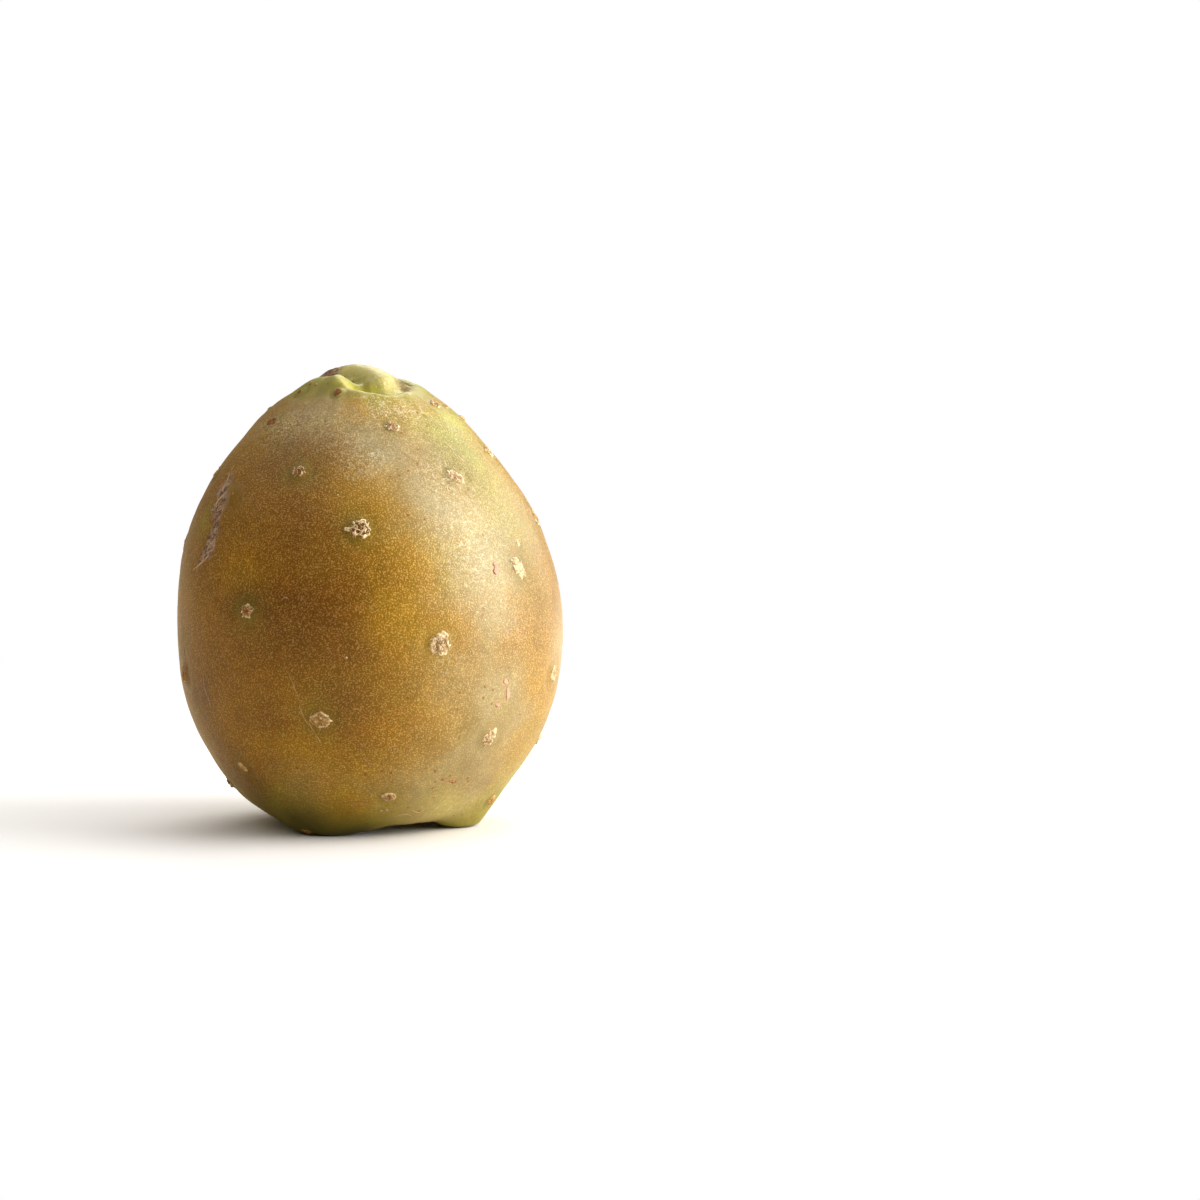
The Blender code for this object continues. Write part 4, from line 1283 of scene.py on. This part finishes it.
def dry_crust():
    """Dry crust: cream where young and brown where old, dark olive in its cracks and pockets, which
    is painted shade over the olive of the skin between its walls, and red-brown in its core."""
    material, wire = new_material("dry_crust")
    place = wire.where()
    age = wire.mask("age")
    colour = wire.blend(wire.step(age, 0.0, 0.6), (0.99, 0.79, 0.5), (0.52, 0.28, 0.078))
    colour = wire.blend(wire.step(age, 0.5, 0.95), colour, (0.095, 0.026, 0.009))
    colour = wire.mottle(place, colour, 2600.0, 0.9)
    tanned = wire.step(wire.noise(place, 1500.0, 2.0), 0.5, 0.64)
    colour = wire.lay(tanned, 0.6, colour, (0.56, 0.26, 0.085))
    # Painted shade in the cracks and pockets, in the olive of the skin between the walls.
    colour = wire.blend(wire.mask("pit"), colour, (0.15, 0.08, 0.004))
    colour = wire.blend(wire.mask("core"), colour, (0.3, 0.11, 0.045))
    normal = bump(wire, wire.noise(place, 4500.0, 3.0, 0.6), 0.00006, 0.7)
    inputs = {
        "Base Color": colour, "Roughness": 0.78, "Normal": normal, "Specular IOR Level": 0.2,
        "Subsurface Weight": 0.08, "Subsurface Radius": (1.0, 0.7, 0.4), "Subsurface Scale": 0.0006,
    }
    return coated(material, wire, inputs)


def cream_wool(name, young, old):
    """Wool and flakes: from pale to tan with age, slightly uneven."""
    material, wire = new_material(name)
    place = wire.where()
    colour = wire.blend(wire.mask("age"), young, old)
    colour = wire.mottle(place, colour, 2500.0, 0.6)
    rough = wire.span(wire.noise(place, 3000.0), 0.55, 0.8)
    inputs = {"Base Color": colour, "Roughness": rough, "Specular IOR Level": 0.2}
    return coated(material, wire, inputs)


def scratch_tissue():
    """Healed scratches: the tint of each, mottled, with torn fine grains."""
    material, wire = new_material("scratch_tissue")
    place = wire.where()
    tint = wire.add("ShaderNodeAttribute", {"attribute_name": "tint"}).outputs["Color"]
    colour = wire.mottle(place, tint, 2600.0, 0.9)
    grains = wire.grain(place, 5200.0)
    colour = wire.lay(grains, 0.4, colour, (0.8, 0.64, 0.43))
    normal = bump(wire, wire.noise(place, 3800.0, 3.0), 0.00005, 0.6)
    inputs = {"Base Color": colour, "Roughness": 0.6, "Normal": normal}
    return coated(material, wire, inputs)


def dry_tissue(name, pale, deep):
    """Corky dead tissue: pale on its raised chips and deep brown in its cracks, as painted shade."""
    material, wire = new_material(name)
    place = wire.where()
    colour = wire.blend(wire.mask("age"), pale, deep)
    colour = wire.mottle(place, colour, 1500.0, 0.9)
    threads = wire.grain(place, 3200.0)
    colour = wire.lay(threads, 0.3, colour, (0.52, 0.4, 0.24))
    # Painted shade in the cracks, and in the sunken middle of the stem scar.
    colour = wire.lay(wire.mask("pit"), 0.6, colour, (0.06, 0.026, 0.014))
    normal = bump(wire, wire.noise(place, 2600.0, 4.0, 0.6), 0.0001, 0.8)
    inputs = {"Base Color": colour, "Roughness": 0.85, "Normal": normal}
    return coated(material, wire, inputs)


# Stage

def pale_floor():
    """Wide white floor, which the camera sees turn into plain white away from the fruit. Its
    light on the fruit is held back, so that the wax doesn't mirror it."""
    material, wire = new_material("pale_floor")
    place = wire.where()
    distance = wire.add("ShaderNodeVectorMath", {"operation": "LENGTH"}, {0: place}).outputs["Value"]
    ray = wire.add("ShaderNodeLightPath").outputs["Is Camera Ray"]
    side = wire.add("ShaderNodeSeparateXYZ", None, {0: place}).outputs["X"]
    bounce = wire.blend(wire.step(side, -0.02, 0.1), (0.72, 0.62, 0.43), (0.95, 0.93, 0.88))
    white = wire.blend(ray, bounce, (0.95, 0.95, 0.95))
    paper = wire.add("ShaderNodeBsdfDiffuse", None, {"Color": white})
    glow = wire.add("ShaderNodeEmission", None, {"Color": (1.0, 1.0, 1.0), "Strength": 1.0})
    share = wire.product(wire.step(distance, 0.03, 0.22), ray)
    mix = wire.add("ShaderNodeMixShader", None, {0: share, 1: paper.outputs[0], 2: glow.outputs[0]})
    finish_material(wire, mix)
    half = 40.0
    height = -0.00002
    corners = ((-half, -half), (half, -half), (half, half), (-half, half))
    mesh = bpy.data.meshes.new("floor")
    mesh.from_pydata([(x, y, height) for x, y in corners], [], [(0, 1, 2, 3)])
    mesh.materials.append(material)
    floor = bpy.data.objects.new("floor", mesh)
    bpy.context.scene.collection.objects.link(floor)


def soft_light():
    """Warm surroundings that are dim in front and grow bright and white on the right and
    overhead, a broad round lamp on the right and two weaker ones behind."""
    world = bpy.data.worlds.new("studio")
    bpy.context.scene.world = world
    world.use_nodes = True
    wire = Wiring(world.node_tree)
    direction = wire.add("ShaderNodeTexCoord").outputs["Generated"]
    parts = wire.add("ShaderNodeSeparateXYZ", None, {0: direction}).outputs
    behind = wire.product(wire.step(parts["Y"], -0.2, 0.9), 0.08)
    overhead = wire.product(wire.step(parts["Z"], 0.35, 1.0), 0.85)
    beside = wire.product(wire.step(parts["X"], 0.35, 1.0), 1.2)
    around = wire.span(wire.step(parts["Y"], -0.95, -0.2), 0.1, 0.2)
    level = wire.sum("ADD", wire.sum("ADD", behind, overhead), wire.sum("ADD", beside, around))
    white = wire.blend(wire.step(level, 0.2, 0.8), (1.0, 0.86, 0.62), (1.0, 0.98, 0.95))
    glow = wire.add("ShaderNodeBackground", None, {"Color": white, "Strength": level})
    seen = wire.add("ShaderNodeBackground", None, {"Color": (1.0, 1.0, 1.0), "Strength": 1.0})
    ray = wire.add("ShaderNodeLightPath").outputs["Is Camera Ray"]
    mix = wire.add("ShaderNodeMixShader", None, {0: ray, 1: glow.outputs[0], 2: seen.outputs[0]})
    output = wire.add("ShaderNodeOutputWorld")
    wire.tree.links.new(mix.outputs[0], output.inputs["Surface"])
    lamps = (
        ("key", (0.49, -0.053, 0.225), 0.48, 3.7),
        ("window", (0.341, 0.374, 0.243), 0.32, 0.55),
        ("back", (0.06, 0.42, 0.42), 0.4, 1.2),
    )
    for name, place, across, power in lamps:
        light = bpy.data.lights.new(name, "AREA")
        light.shape = "DISK"
        light.size = across
        light.energy = power
        light.color = (1.0, 0.98, 0.95)
        lamp = bpy.data.objects.new(name, light)
        lamp.location = place
        aim = np.array([0.0, 0.0, 0.034]) - np.array(place)
        aim = aim / np.linalg.norm(aim)
        lamp.rotation_euler = (math.acos(-aim[2]), 0.0, math.atan2(aim[1], aim[0]) - math.pi / 2)
        bpy.context.scene.collection.objects.link(lamp)


def long_lens():
    """Camera 0.74 m away and 6 degrees above level, with the fruit left of the middle."""
    data = bpy.data.cameras.new("camera")
    data.lens = 150.0
    data.sensor_width = 36.0
    data.clip_start = 0.05
    data.clip_end = 200.0
    camera = bpy.data.objects.new("camera", data)
    camera.location = (0.034028, -0.73597, 0.110483)
    camera.rotation_euler = (math.radians(84.0), 0.0, 0.0)
    bpy.context.scene.collection.objects.link(camera)
    bpy.context.scene.camera = camera


skin_piece(waxy_skin())
crust_piece(dry_crust())
wool_piece(cream_wool("cream_wool", (0.95, 0.8, 0.54), (0.4, 0.21, 0.085)))
flake_piece(cream_wool("dry_flakes", (0.95, 0.77, 0.5), (0.38, 0.18, 0.065)))
scratch_piece(scratch_tissue())
tissue_piece(dry_tissue("flower_scar_brown", (0.36, 0.18, 0.09), (0.17, 0.068, 0.038)))
cork_piece(dry_tissue("stem_scar_cork", (0.42, 0.3, 0.17), (0.15, 0.09, 0.045)))
pale_floor()
soft_light()
long_lens()
bpy.context.scene.view_settings.view_transform = "Standard"
